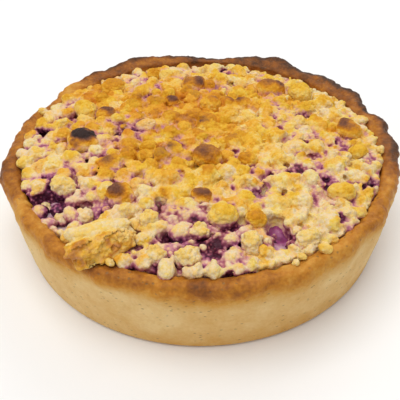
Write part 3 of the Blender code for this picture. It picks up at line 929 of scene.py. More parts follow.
@dataclass(frozen=True)
class GrainCluster:
    """The form of a crumb of radius 1: round grains stuck together, some of them small, and broken faces.

    Attributes:
        grains: Number of large grains.
        offsets: Least and greatest distance of their middles.
        radii: Least and greatest radius.
        knobs: Number of small grains on the surface.
        knob_height: How far they stand out.
        facets: Number of broken faces.
    """

    grains: int
    offsets: tuple[float, float]
    radii: tuple[float, float]
    knobs: int
    knob_height: float
    facets: int = 0
    facet_reach: tuple[float, float] = (0.55, 0.85)
    least_reach: float = 0.45

    def mesh(self, name: str, rng: random.Random, level: Level) -> Mesh:
        """A crumb's mesh.

        Args:
            name: Name of the mesh.
            rng: Source of its random numbers.
            level: How finely it is divided.

        Returns:
            The mesh, with its height in the crumb as an attribute.
        """
        balls = [(self.way(rng) * rng.uniform(*self.offsets), rng.uniform(*self.radii)) for _ in range(self.grains)]
        shape = bmesh.new()
        bmesh.ops.create_icosphere(shape, subdivisions=level.value, radius=1.0)
        mesh = bpy.data.meshes.new(name)
        shape.to_mesh(mesh)
        shape.free()
        ways = corners(mesh)
        ways /= np.linalg.norm(ways, axis=1)[:, None]
        reach = np.full(len(ways), self.least_reach)
        for offset, radius in balls:
            along = ways @ offset
            inside = radius * radius - offset @ offset + along * along
            ball = np.where(inside > 0.0, along + np.sqrt(np.maximum(inside, 0.0)), 0.0)
            reach = np.maximum(reach, ball)
        for _ in range(self.knobs):
            near = ways @ self.way(rng)
            width = rng.uniform(0.16, 0.34)
            bulge = np.sqrt(np.maximum(0.0, 1.0 - (2.0 - 2.0 * near) / width**2))
            reach = reach + self.knob_height * rng.uniform(0.4, 1.0) * bulge * (near > 0.0)
        for _ in range(self.facets):
            near = np.maximum(ways @ self.way(rng), 0.01)
            reach = np.minimum(reach, rng.uniform(*self.facet_reach) / near)
        points = ways * reach[:, None]
        middle = 0.5 * (points.max(axis=0) + points.min(axis=0))
        points = (points - middle) * 2.0 / np.ptp(points, axis=0)
        move_corners(mesh, points)
        store_values(mesh, RISE, points[:, 2])
        return mesh

    @staticmethod
    def way(rng: random.Random) -> Array:
        """A random direction."""
        return np.array(Vector([rng.uniform(-1, 1) for _ in range(3)]).normalized())


LUMP_CLUSTER = GrainCluster(6, (0.20, 0.36), (0.62, 0.76), 30, 0.06)
KNOBBLY_CLUSTER = GrainCluster(7, (0.30, 0.46), (0.52, 0.64), 30, 0.10, 2)
ROUND_CLUSTER = GrainCluster(6, (0.20, 0.38), (0.58, 0.72), 14, 0.08)


@dataclass
class Terrain:
    """The height of the streusel so far, on a square grid, on which more crumbs are laid.

    Attributes:
        half_width: Half of the grid's width.
        pitch: Distance between its lines.
        evening: Distance over which its mean height is taken.
    """

    half_width: float = 58.0 * MM
    pitch: float = 0.4 * MM
    evening: float = 3.2 * MM

    def __post_init__(self) -> None:
        """Starts with the bare bed and the filling in its gaps."""
        self.count = int(round(2.0 * self.half_width / self.pitch)) + 1
        lines = np.linspace(-self.half_width, self.half_width, self.count)
        self.x, self.y = np.meshgrid(lines, lines, indexing="ij")
        gaps = np.any([pit.reach(self.x, self.y) < 1.0 for pit in PITS], axis=0)
        self.height = np.where(gaps, FORM.filling_top(self.x, self.y), FORM.bed_top(self.x, self.y))
        self.mean = self.height

    def window(self, x: float, y: float, reach: float) -> tuple[slice, ...]:
        """The part of the grid within reach of a place, as slices along X and Y."""
        ends = [[int((m + side + self.half_width) / self.pitch) for side in (-reach, reach)] for m in (x, y)]
        return tuple(slice(max(0, low), min(self.count, high + 2)) for low, high in ends)

    def support(self, x: float, y: float, reach: float) -> float:
        """Mean height under a crumb of that radius."""
        return float(self.height[self.window(x, y, 0.6 * reach)].mean())

    def lay(self, x: float, y: float, z: float, reach: float, half_height: float) -> None:
        """Raises the grid to a crumb's top.

        Args:
            x: Middle of the crumb.
            y: Middle of the crumb.
            z: Middle of the crumb.
            reach: Its radius.
            half_height: Half of its height.
        """
        window = self.window(x, y, reach)
        away = np.hypot(self.x[window] - x, self.y[window] - y) / reach
        top = z + half_height * np.sqrt(np.maximum(0.0, 1.0 - away * away))
        self.height[window] = np.where(away < 1.0, np.maximum(self.height[window], top), self.height[window])

    def cells(self, points: Array) -> tuple[Array, ...]:
        """The row and column of the grid that each point lies on."""
        index = np.rint((points[:, :2] + self.half_width) / self.pitch).astype(int)
        return tuple(np.clip(index, 0, self.count - 1).T)

    def measure(self, points: Array, lumps: Array) -> None:
        """Takes the heights of the finished crust and works out the mean height round each place.

        Args:
            points: The crust's points.
            lumps: Heights of the grid where the loose lumps lie.
        """
        surface = np.zeros(self.height.shape)
        np.maximum.at(surface, self.cells(points), points[:, 2])
        self.height = np.maximum(np.where(surface > 0.0, surface, self.height), lumps)
        steps = self.evening / self.pitch
        half = int(3 * steps)
        weights = np.exp(-0.5 * (np.arange(-half, half + 1) / steps) ** 2)
        weights /= weights.sum()
        self.mean = self.height
        for _ in range(2):
            padded = np.pad(self.mean, ((half, half), (0, 0)), mode="edge")
            self.mean = sum(weight * padded[k : k + self.count] for k, weight in enumerate(weights)).T

    def relief(self, points: Array) -> Array:
        """How far points lie above the mean height round them, in metres."""
        return points[:, 2] - self.mean[self.cells(points)]


@dataclass
class CrumbPlace:
    """A crumb that the scatter places: its middle, half sizes, turns about X, Y and Z, and which shape it has.

    Attributes:
        bake: How far it is baked more than its surroundings.
        tinge: How lemon yellow it is.
    """

    x: float
    y: float
    z: float
    half_sizes: tuple[float, ...]
    turn: tuple[float, ...]
    kind: int
    bake: float = 0.0
    tinge: float = 0.0


@dataclass(frozen=True)
class Oven:
    """How the oven and the berries colour the streusel, by its place and by how far it stands out, and where shade
    is painted into its low places.
    """

    base: float = 0.09
    high: float = 0.10
    least: float = 0.04
    soak: float = 0.75

    def bake(self, points: Array, terrain: Terrain, own: Array) -> Array:
        """How far each point of the crust is baked.

        Args:
            points: Places, one row each.
            terrain: Heights of the streusel.
            own: How far each point's crumb is baked more than its surroundings.

        Returns:
            The toast at each place.
        """
        patches = 0.16 * (soft_noise(points, 11.0, 21) - 0.5) + 0.08 * (soft_noise(points, 5.0, 3) - 0.5)
        region = spots_at(BAKED_SPOTS, points) + patches
        relief = terrain.relief(points)
        crown = smooth_step(relief, 0.2 * MM, 2.0 * MM) * np.clip(0.7 + 3.0 * region, 0.0, 1.6)
        tips = spots_at(BROWNED_TIPS, points) * smooth_step(relief, -0.9 * MM, 1.6 * MM)
        return np.maximum(self.base + region + own + self.high * crown + tips, self.least)

    def stain(self, points: Array, terrain: Terrain, soak: float = 1.0) -> Array:
        """How far the berries have stained each point, with painted shade added in the low places.

        Args:
            points: Places, one row each.
            terrain: Heights of the streusel.
            soak: How readily the piece takes up juice; it scales the painted shade as well.

        Returns:
            The staining at each place, painted shade included.
        """
        relief = terrain.relief(points)
        low = 1.0 - smooth_step(relief, -1.1 * MM, 1.9 * MM)
        crown = smooth_step(relief, -0.2 * MM, 1.6 * MM)
        above = points[:, 2] - FORM.bed_top(points[:, 0], points[:, 1])
        deep = 1.0 - smooth_step(above, -0.6 * MM, 3.4 * MM)
        spots = np.clip(spots_at(STAINED_SPOTS, points), 0.0, 1.2)
        wander = 1.5 * soft_noise(points, 8.0, 8) + 1.2 * soft_noise(points, 2.0, 9) - 1.08
        dry = np.clip(1.0 - 2.5 * spots_at(BAKED_SPOTS, points), 0.25, 1.2)
        # Painted shade: the first term stains the places that lie below the mean height round them, where shade falls
        stain = low * np.clip(wander, 0.0, 1.0) * dry + spots * (0.4 * (1.0 - crown) + 0.6 * deep)
        return np.clip(self.soak * soak * stain, 0.0, 1.0)

    @staticmethod
    def keep(piece: Piece, toast: Array, stain: Number, tinge: Number) -> None:
        """Keeps the baking, the staining with its painted shade, and the tinge as the piece's attributes."""
        for name, values in ((TOAST, toast), (STAIN_AND_SHADE, np.clip(stain, 0.0, 1.0)), (TINGE, tinge)):
            store_values(piece.data, name, values)


OVEN = Oven()


@dataclass
class CrumbPile:
    """Many crumbs of about one size.

    Attributes:
        name: Name of the piece.
        level: How finely each crumb is divided.
        cluster: The form of the crumbs.
        variants: Number of shapes.
        crumbs: Their places.
    """

    name: str
    level: Level
    cluster: GrainCluster
    variants: int
    crumbs: list[CrumbPlace]

    def build(self) -> Piece:
        """Makes the crumbs on loose points that hold their sizes, turns and shapes.

        Returns:
            The piece, with a plain mesh.
        """
        shapes = bpy.data.collections.new(self.name + "_shapes")
        for index in range(self.variants):
            label = f"{self.name}_shape_{index:02d}"
            mesh = self.cluster.mesh(label, random.Random(SEED + 300 + index), self.level)
            shapes.objects.link(bpy.data.objects.new(label, mesh))
        mesh = bpy.data.meshes.new(self.name)
        mesh.from_pydata([(c.x, c.y, c.z) for c in self.crumbs], [], [])
        for name, rows in ((SIZE, [c.half_sizes for c in self.crumbs]), (TURN, [c.turn for c in self.crumbs])):
            attribute = mesh.attributes.new(name, "FLOAT_VECTOR", "POINT")
            attribute.data.foreach_set("vector", np.array(rows, np.float32).ravel())
        kinds = mesh.attributes.new(KIND, "INT", "POINT")
        kinds.data.foreach_set("value", [c.kind % self.variants for c in self.crumbs])
        piece = link(self.name, mesh)
        SCATTER_TREE.run(piece, {"Shapes": shapes, "Finish": STREUSEL.material()})
        for thing in list(shapes.objects):
            bpy.data.meshes.remove(thing.data)
        bpy.data.collections.remove(shapes)
        return piece


@dataclass(frozen=True)
class StreuselBed:
    """The thin bed of fine streusel under the crumbs, with the gaps where the filling shows."""

    steps: int = 300
    pitch: float = 0.6 * MM
    lift: float = 0.2 * MM
    swell: float = 1.8 * MM
    fused_lift: float = 0.5 * MM
    gap_depth: float = 3.2 * MM

    def sheet(self) -> Piece:
        """Makes the bed with its swells, which dips under the filling in its gaps.

        Returns:
            The piece, still without its crumbs.
        """
        edge = FORM.inner_radius - FIT_GAP
        top = [(r, FORM.dome(r)) for r in np.linspace(0.0, edge, int(edge / self.pitch))]
        under = [(r, FORM.dome(r) - FORM.bed_thickness - 1.2 * MM) for r in (edge, 0.5 * edge, 0.0)]
        piece = turned("fine_streusel", top + under, self.steps)
        points = corners(piece.data)
        points[:, 2] -= FORM.drop(points[:, 1])
        upper = (points[:, 2] > FORM.bed_top(points[:, 0], points[:, 1]) - 0.5 * MM).astype(float)
        swells = soft_noise(points, 4.5, 51) + 0.5 * soft_noise(points, 2.2, 52) - 0.75
        fused = np.clip(spots_at(BAKED_SPOTS, points) / 0.16, 0.0, 1.0)
        points[:, 2] += (self.lift + self.swell * swells + self.fused_lift * fused) * upper
        wander = 1.0 * MM * (soft_noise(points, 1.7, 41) - 0.5)
        gap = np.zeros(len(points))
        for pit in PITS:
            reach = pit.reach(points[:, 0] + wander, points[:, 1] + wander)
            gap = np.maximum(gap, 1.0 - smooth_step(reach, 0.8, 0.3))
        points[:, 2] -= (self.gap_depth + self.lift) * gap * upper
        move_corners(piece.data, points)
        return piece

    @staticmethod
    def crumbly(x: Number, y: Number) -> Number:
        """How finely the streusel is crumbled at a place: 0 at the left and the front, 1 at the right."""
        return smooth_step(0.9 * x - 0.10 * y, -4.0 * MM, 30.0 * MM)


@dataclass
class Streusel:
    """All the crumbs: those of the solid bed by its own rule, the loose lumps, and smaller ones between them."""

    tries: int = 9000
    smallest: float = 1.8 * MM
    largest: float = 4.3 * MM
    squash: float = 0.72
    rise: float = 0.22
    spread: float = 0.90
    lump_rise: float = 0.20
    lump_half_height: float = 0.6
    voxel: float = 0.40 * MM
    most_triangles: int = 190000
    wide_gap: tuple[float, float, float] = (-38.0, -27.0, 9.0)
    terrain: Terrain = field(default_factory=Terrain)

    @staticmethod
    def throw(rng: random.Random) -> tuple[float, float, float]:
        """A random place inside the rim, as its distance from the middle, its X and its Y."""
        distance = FORM.inner_radius * math.sqrt(rng.random())
        azimuth = rng.uniform(-math.pi, math.pi)
        return distance, distance * math.cos(azimuth), distance * math.sin(azimuth)

    def bed_crumbs(self) -> list[CrumbPlace]:
        """The crumbs of the bed's solid, by the same seeded tries, the largest first.

        Returns:
            Their places.
        """
        rng = random.Random(SEED)
        found: list[tuple[float, float, float]] = []
        for attempt in range(self.tries):
            reach = self.largest - (self.largest - self.smallest) * math.sqrt(attempt / self.tries)
            distance, x, y = self.throw(rng)
            if not (
                distance > FORM.inner_radius - reach - 2.0 * FIT_GAP - 0.6 * FORM.drop(y)
                or any(pit.reach(x, y, 0.4 * reach) < 1.0 for pit in PITS)
                or SLAB.covers(x, y, reach + FIT_GAP)
                or any(lump.outline.reach(x, y, reach + 2.0 * FIT_GAP) < 1.0 for lump in LUMPS)
                or any(math.hypot(x - a * MM, y - b * MM) < reach + (c + 0.6) * MM for a, b, c in SUNK)
                or any(math.hypot(x - a, y - b) < self.spread * (reach + c) for a, b, c in found)
            ):
                found.append((x, y, reach))
        crumbs = []
        for index, (x, y, reach) in enumerate(found):
            own = random.Random(SEED + 1000 + index)
            half_sizes = (reach, reach * own.uniform(0.8, 1.0), reach * self.squash)
            z = FORM.bed_top(x, y) + self.rise * reach
            turn = (own.uniform(-0.2, 0.2), own.uniform(-0.2, 0.2), own.uniform(0.0, math.tau))
            bake, tinge = own.uniform(-0.09, 0.14), own.uniform(-0.6, 0.6)
            crumbs.append(CrumbPlace(x, y, z, half_sizes, turn, index, bake, tinge))
            self.terrain.lay(x, y, z, reach, half_sizes[2])
        return crumbs

    @staticmethod
    def set_crumbs(rows: Rows, grounds: list[float], sink: float, shape: Rows, tilt: Rows) -> list[CrumbPlace]:
        """Small crumbs that lie on places of their own.

        Args:
            rows: X, Y and radius of each crumb, in millimetres.
            grounds: Height of what it lies on.
            sink: How far its middle lies above that, as a share of the radius.
            shape: Its half sizes as shares of the radius.
            tilt: Its turn about X, and how much more than the last one it is turned about Z.

        Returns:
            Their places.
        """
        crumbs = []
        for index, ((x, y, radius), ground) in enumerate(zip(rows, grounds)):
            half_sizes = tuple(share * radius * MM for share in shape)
            z, turn = ground + sink * radius * MM, (tilt[0], 0.0, tilt[1] * index)
            crumbs.append(CrumbPlace(x * MM, y * MM, z, half_sizes, turn, index))
        return crumbs

    def heap(self, seed: int, tries: int, sizes: tuple[float, float], top: float, gaps: tuple) -> list[CrumbPlace]:
        """Smaller crumbs that fill the room between the larger ones.

        Args:
            seed: Number that picks their places.
            tries: Number of seeded tries.
            sizes: Largest and smallest radius.
            top: How far above the bed they may still lie.
            gaps: Share of the tries that is kept in the gaps of the bed, and how much more in the wide one.

        Returns:
            Their places.
        """
        rng = random.Random(seed)
        crumbs: list[CrumbPlace] = []
        cells: dict[tuple[int, int], list[tuple[float, float, float]]] = {}
        cell = 2.5 * sizes[0]
        middle_x, middle_y, width = (size * MM for size in self.wide_gap)
        for attempt in range(tries):
            reach = sizes[0] - (sizes[0] - sizes[1]) * attempt / tries
            distance, x, y = self.throw(rng)
            luck = rng.random()
            crumbly = StreuselBed.crumbly(x, y)
            reach *= 1.12 - 0.42 * crumbly
            if distance > FORM.inner_radius - 0.2 * reach - 1.2 * FORM.drop(y):
                continue
            support = self.terrain.support(x, y, reach)
            if support > FORM.bed_top(x, y) + top or SLAB.covers(x, y, 0.3 * reach):
                continue
            widest = math.exp(-(math.hypot(x - middle_x, y - middle_y) ** 2) / width**2)
            if any(pit.reach(x, y) < 1.0 for pit in PITS) and luck > gaps[0] + gaps[1] * widest:
                continue
            column, row = math.floor(x / cell), math.floor(y / cell)
            near = [p for i in (-1, 0, 1) for j in (-1, 0, 1) for p in cells.get((column + i, row + j), ())]
            if any(math.hypot(x - a, y - b) < (0.84 + 0.08 * crumbly) * (reach + c) for a, b, c in near):
                continue
            if any(lump.outline.reach(x, y) < 1.1 for lump in LUMPS):
                continue
            cells.setdefault((column, row), []).append((x, y, reach))
            half_sizes = tuple(reach * rng.uniform(*ends) for ends in ((0.9, 1.2), (0.85, 1.0), (0.7, 0.95)))
            turn = (rng.uniform(-0.5, 0.5), rng.uniform(-0.5, 0.5), rng.uniform(0.0, math.tau))
            z = support + rng.uniform(0.0, 0.4) * reach
            bake, tinge = rng.uniform(-0.09, 0.13), rng.uniform(-0.6, 0.6)
            crumbs.append(CrumbPlace(x, y, z, half_sizes, turn, rng.randrange(64), bake, tinge))
            self.terrain.lay(x, y, z, reach, half_sizes[2])
        return crumbs

    def lump_place(self, lump: Lump) -> tuple[tuple[float, float, float], float]:
        """Middle and half height of a loose lump."""
        x, y = lump.outline.x * MM, lump.outline.y * MM
        z = FORM.bed_top(x, y) + self.lump_rise * lump.height * MM
        return (x, y, z), self.lump_half_height * lump.height * MM

    def build_lump(self, index: int, lump: Lump) -> None:
        """Makes a loose lump.

        Args:
            index: Its place in the list, which seeds its shape as it does the solid's.
            lump: The lump.
        """
        mesh = LUMP_CLUSTER.mesh(lump.node, random.Random(SEED + index), Level.FINE)
        middle, half_height = self.lump_place(lump)
        half_sizes = (lump.outline.half_long * MM, lump.outline.half_wide * MM, half_height, 1.0)
        place = Matrix.Translation(middle) @ Matrix.Rotation(math.radians(lump.outline.turn), 4, "Z")
        mesh.transform(place @ Matrix.Diagonal(half_sizes))
        piece = link(lump.node + "_baked", mesh)
        knobs = 0.40 if lump.bake is Bake.PALE else 0.16
        Relief((2.4, 0.34), (0.7, 0.16), (1.3, knobs), index).apply(piece, STREUSEL)
        flank, top, tinge = lump.bake.value
        points = corners(piece.data)
        rise = read_values(piece.data, RISE) + 0.7 * (soft_noise(points, 3.0, index + 60) - 0.5)
        # Near a stained spot a lump is stained from below: partly juice it soaks up, partly painted shade under it
        soaked_and_shaded = 0.7 * np.clip(spots_at(STAINED_SPOTS, points), 0.0, 1.0) * (1.0 - smooth_step(rise, -0.6, 0.9))
        soaked_and_shaded += OVEN.stain(points, self.terrain, 0.8)
        OVEN.keep(piece, flank + top * smooth_step(rise, 0.28, 0.84), soaked_and_shaded, tinge)
        mount(piece, lump.bake.name.lower(), lump.node)

    def build_crust(self, piles: list[CrumbPile], lumps: Array) -> None:
        """Bakes the bed and its crumbs into one crust.

        Args:
            piles: The crumbs that are part of it.
            lumps: Heights of the terrain where the loose lumps lie.
        """
        whole = bmesh.new()
        for part in [StreuselBed().sheet()] + [pile.build() for pile in piles]:
            whole.from_mesh(part.data)
            bpy.data.meshes.remove(part.data)
        mesh = bpy.data.meshes.new("streusel_crust")
        whole.to_mesh(mesh)
        whole.free()
        piece = link("streusel_crust", mesh)
        modify(piece, "REMESH", mode="VOXEL", voxel_size=self.voxel)
        modify(piece, "SMOOTH", factor=0.5, iterations=1)
        apply_modifiers(piece)
        keep_largest(piece.data)
        x, y, z = corners(piece.data).T
        upper = smooth_step(z - FORM.filling_top(x, y), 0.0, 1.5 * MM)
        relief = Relief((1.8, 0.30), (0.7, 0.18), (1.2, 0.30), 12.0)
        relief.apply(piece, STREUSEL, upper, 0.5 + 0.5 * StreuselBed.crumbly(x, y))
        triangles = sum(len(face.vertices) - 2 for face in piece.data.polygons)
        modify(piece, "DECIMATE", ratio=min(1.0, self.most_triangles / triangles))
        apply_modifiers(piece)
        crumbs = [crumb for pile in piles for crumb in pile.crumbs]
        tree = kdtree.KDTree(len(crumbs))
        for index, crumb in enumerate(crumbs):
            tree.insert((crumb.x, crumb.y, crumb.z), index)
        tree.balance()
        points = corners(piece.data)
        self.terrain.measure(points, lumps)
        nearest = [crumbs[tree.find(point)[1]] for point in points]
        toast = OVEN.bake(points, self.terrain, np.array([crumb.bake for crumb in nearest]))
        lemon = 0.08 * np.clip(points[:, 0] / (40.0 * MM), -1.0, 1.0) + 0.16
        tinge = np.array([crumb.tinge for crumb in nearest]) + lemon
        OVEN.keep(piece, toast, OVEN.stain(points, self.terrain), tinge)
        mount(piece, STREUSEL.slot, "streusel_bed")

    def build_sunk(self, pile: CrumbPile) -> None:
        """Makes the pale crumbs that lie in the filling of the front left gap.

        Args:
            pile: The crumbs.
        """
        piece = pile.build()
        Relief((1.6, 0.16), (0.6, 0.10), (1.1, 0.12), 4.0).apply(piece, STREUSEL)
        points = corners(piece.data)
        rise = read_values(piece.data, RISE) + 0.5 * (soft_noise(points, 1.5, 18) - 0.5)
        OVEN.keep(piece, 0.08 * soft_noise(points, 2.0, 17), 0.83 - 0.75 * smooth_step(rise, -0.35, 0.9), 0.0)
        mount(piece, STREUSEL.slot)

    def build_spilled(self) -> None:
        """Makes the small crumbs that fell on the rim."""
        grounds = [float(SLAB.support(np.array([[x, y, 0.0]]) * MM)[0]) for x, y, _ in SPILLED]
        crumbs = self.set_crumbs(SPILLED, grounds, 0.4, (1.1, 0.9, 0.8), (0.3, 1.1))
        piece = CrumbPile("spilled_crumbs", Level.MIDDLE, ROUND_CLUSTER, 5, crumbs).build()
        Relief((1.6, 0.16), (0.6, 0.12), (1.1, 0.16), 5.0).apply(piece, STREUSEL)
        OVEN.keep(piece, 0.03 + 0.14 * soft_noise(corners(piece.data), 3.0, 19), 0.0, 0.2)
        mount(piece, STREUSEL.slot)

    def build(self) -> None:
        """Makes every crumb. The heaps are laid in order, because each lies on what came before it."""
        for lump in LUMPS:
            (x, y, z), half_height = self.lump_place(lump)
            reach = 0.5 * (lump.outline.half_long + lump.outline.half_wide) * MM
            self.terrain.lay(x, y, z, reach, half_height)
        lumps = self.terrain.height.copy()
        coarse = self.bed_crumbs()
        grounds = [FORM.filling_top(x * MM, y * MM) for x, y, _ in SUNK]
        sunk = self.set_crumbs(SUNK, grounds, 0.35, (1.0, 1.0, 0.9), (0.0, 0.7))
        for crumb in sunk:
            self.terrain.lay(crumb.x, crumb.y, crumb.z, crumb.half_sizes[0], crumb.half_sizes[2])
        middle = self.heap(SEED + 1, 6000, (2.5 * MM, 1.2 * MM), 1.2 * MM, (0.05, 0.6))
        small = self.heap(SEED + 2, 7000, (1.1 * MM, 0.7 * MM), 1.8 * MM, (0.0, 0.0))
        piles = [
            CrumbPile("bed_crumbs", Level.MIDDLE, KNOBBLY_CLUSTER, 12, coarse),
            CrumbPile("middling_crumbs", Level.COARSE, ROUND_CLUSTER, 12, middle),
            CrumbPile("small_crumbs", Level.LEAST, ROUND_CLUSTER, 12, small),
        ]
        self.build_crust(piles, lumps)
        self.build_sunk(CrumbPile("sunk_crumbs", Level.FINE, ROUND_CLUSTER, 5, sunk))
        self.build_spilled()
        for index, lump in enumerate(LUMPS):
            self.build_lump(index, lump)


# ---------------------------------------------------------------------------------------------------------------
# Slab, shell and filling


@dataclass(frozen=True)
class BrokenSlab:
    """The broken slab at the front left, thick at its outer end, which leans on the rim."""

    x: float = -24.5 * MM
    y: float = -43.7 * MM
    length: float = 18.2 * MM
    depth: float = 8.4 * MM
    height: float = 6.8 * MM
    turn: float = math.radians(26)
    taper: float = 0.24
    squareness: float = 0.8
    lean: float = 0.16
    seed: int = 5
    rim_step: float = 1.5 * MM
    hole_depth: float = 0.7 * MM

    def covers(self, x: float, y: float, margin: float) -> bool:
        """True where a crumb of that radius would reach the slab."""
        away = Matrix.Rotation(-self.turn, 2) @ Vector((x - self.x, y - self.y))
        return abs(away.x) < 0.5 * self.length + margin and abs(away.y) < 0.5 * self.depth + margin

    def support(self, points: Array) -> Array:
        """Height of what carries the slab: the bed, and past the wall the rim's crown.

        Args:
            points: Places, one row each.

        Returns:
            The height at each place.
        """
        x, y = points[:, 0], points[:, 1]
        over_rim = smooth_step((np.hypot(x, y) - FORM.inner_radius) / self.rim_step + 1.0)
        on_bed = FORM.bed_top(x, y)
        return on_bed + (FORM.rim_height + FORM.rim_push(np.arctan2(y, x))[1] - on_bed) * over_rim

    def build(self) -> None:
        """Makes the slab: pale on top, and darker in brown patches and crumbly on its broken front."""
        mesh = KNOBBLY_CLUSTER.mesh("broken_slab_baked", random.Random(self.seed), Level.FINEST)
        share = corners(mesh)
        bulge = np.linalg.norm(share, axis=1) / (share**4).sum(axis=1) ** 0.25
        share *= (1.0 + self.squareness * (bulge - 1.0))[:, None]
        along, across, above = share.T
        taper = 1.0 - self.taper * along
        wide, high = 0.5 * self.depth * (across * taper + self.lean * above), 0.5 * self.height * above * taper
        move_corners(mesh, np.column_stack([0.5 * self.length * along, wide, high]))
        height = FORM.bed_edge + 0.5 * self.height
        mesh.transform(Matrix.Translation((self.x, self.y, height)) @ Matrix.Rotation(self.turn, 4, "Z"))
        points = corners(mesh)
        points[:, 2] = np.maximum(points[:, 2], self.support(points) + FIT_GAP)
        front = smooth_step(0.30 - across - 0.4 * above, 0.0, 0.35)
        holes = smooth_step(soft_noise(points, 1.3, 33), 0.60, 0.12)
        inward = np.array([-math.sin(self.turn), math.cos(self.turn), 0.35])
        piece = link("broken_slab_baked", mesh)
        move_corners(mesh, points + self.hole_depth * (holes * front)[:, None] * inward)
        relief = Relief((2.4, 0.7), (0.6, 0.18), (1.3, 0.5), 2.0)
        relief.apply(piece, STREUSEL, 0.22 + 0.78 * front, front)
        patches = 0.6 * soft_noise(points, 3.2, 6) + 0.4 * soft_noise(points, 1.3, 7)
        floury = smooth_step(-0.35 - above + 0.5 * (patches - 0.5), 0.0, 0.35)
        # The broken front is darker, in patches
        front_darkening = np.clip(0.12 - 0.08 * along + 1.6 * np.clip(patches - 0.47, 0.0, 1.0), 0.0, 0.34)
        toast = 0.05 + 0.05 * patches + front * front_darkening * (1.0 - 0.9 * floury)
        OVEN.keep(piece, toast, 0.11 * front * (1.0 - floury) + 0.05 * floury, 0.3 - 0.3 * front)
        mount(piece, "pale", "broken_slab")


SLAB = BrokenSlab()


@dataclass(frozen=True)
class PastryShell:
    """The pastry shell: floor, tapered wall and rounded rim, with the relief and browning of a baked one."""

    steps: int = 480
    longest: float = 0.42 * MM
    rim_toast: float = 0.57
    wall_toast: float = 0.06
    darkest: float = 0.88
    darkening: float = 0.06
    fade: float = 7.0 * MM

    def profile(self) -> Profile:
        """The shell's outline, from its floor over the rim to its base.

        Returns:
            Radius and height of each point.
        """
        low_wall = FORM.rim_height - 9.0 * MM
        inside = [(0.0, FORM.floor), (FORM.floor_radius, FORM.floor), (FORM.inner_wall(low_wall), low_wall)]
        inner_end = (FORM.inner_radius, FORM.rim_height - FORM.rim_drop)
        inside += divided([inside.pop(), inner_end], self.longest)
        crown = FORM.crown_radius
        in_radii = (crown - FORM.inner_radius, FORM.rim_drop)
        out_radii = (FORM.rim_radius - crown, FORM.lip_drop)
        rim = arc((crown, FORM.rim_height - FORM.rim_drop), in_radii, (165, 90), 10)
        rim += arc((crown, FORM.rim_height - FORM.lip_drop), out_radii, (82, 0), 14)
        middle = (0.5 * (FORM.base_radius + FORM.rim_radius) + FORM.wall_bulge, 0.55 * FORM.rim_height)
        wall = divided([rim.pop(), middle, (FORM.base_radius, FORM.base_round)], self.longest)
        heel_middle = (FORM.base_radius - FORM.base_round, FORM.base_round)
        heel = arc(heel_middle, (FORM.base_round, FORM.base_round), (-10, -90), 8)
        return inside + rim + wall + heel + [(0.6 * FORM.base_radius, 0.0), (0.0, 0.0)]

    @staticmethod
    def press(points: Array) -> Array:
        """Moves the points as the baker's thumbs pushed them.

        Args:
            points: Places on the turned shell, one row each.

        Returns:
            The pressed places.
        """
        x, y, z = points.T
        radius, azimuth = np.hypot(x, y), np.arctan2(y, x)
        share = smooth_step(radius, FORM.inner_radius, FORM.crown_radius - FORM.inner_radius)
        share *= smooth_step(z, FORM.press_floor, FORM.rim_height - FORM.press_floor)
        outward, upward = FORM.rim_push(azimuth)
        reach = radius + outward * share
        return np.column_stack([reach * np.cos(azimuth), reach * np.sin(azimuth), z + upward * share])

    def toast(self, points: Array) -> Array:
        """How far each point of the turned shell is baked, and how much darker the wall is towards its base
        and at its front middle.

        Args:
            points: Places on the turned shell before it was pressed, one row each.

        Returns:
            The baking at each place.
        """
        x, y, z = points.T
        radius, azimuth = np.hypot(x, y), np.arctan2(y, x)
        tone = np.full(len(points), self.rim_toast)
        outer = smooth_step(radius - FORM.rim_radius, -3.4 * MM, 1.8 * MM)
        outer *= smooth_step(z - FORM.rim_height, -4.2 * MM, 2.4 * MM)
        for middle, spread, amount, edge in BROWNINGS:
            tone += stretch(azimuth, middle, spread) * (amount + edge * outer)
        # A soft limit keeps the rim short of charcoal
        tone = self.darkest - np.log1p(np.exp((self.darkest - tone) / self.darkening)) * self.darkening
        around = np.column_stack([x, y, np.zeros(len(points))])
        fade = self.fade * (0.6 + 0.9 * soft_noise(around, 16.0, 9))
        on_rim = 1.0 - smooth_step(FORM.rim_height - 0.6 * MM - z, 0.0, fade)
        blotches = soft_noise(points, 11.0, 14) + 0.5 * soft_noise(points, 4.0, 15) - 0.75
        # The wall is darker towards its base and at its front middle
        heel = smooth_step(9.0 * MM - z, 0.0, 9.0 * MM)
        wall = self.wall_toast + 0.20 * blotches + 0.16 * heel + 0.10 * stretch(azimuth, 275, 16)
        return wall + (tone + 0.14 * blotches - wall) * on_rim

    def build(self) -> None:
        """Makes the shell, smooth inside and below, and roughest on the rim."""
        piece = turned("baked_pastry_shell", self.profile(), self.steps)
        points = corners(piece.data)
        store_values(piece.data, TOAST, self.toast(points))
        x, y, z = points.T
        mask = smooth_step(z, 0.2 * MM, 4.0 * MM) * smooth_step(np.hypot(x, y), 50.0 * MM, 2.0 * MM)
        mask *= 0.35 + 0.65 * smooth_step(z, 16.0 * MM, 7.0 * MM)
        move_corners(piece.data, self.press(points))
        relief = Relief((4.0, 0.70), (1.2, 0.34), (2.4, 0.42), 7.0)
        relief.apply(piece, PASTRY, mask, smooth_step(z, 19.0 * MM, 4.0 * MM))
        mount(piece, PASTRY.slot, "pastry_shell")


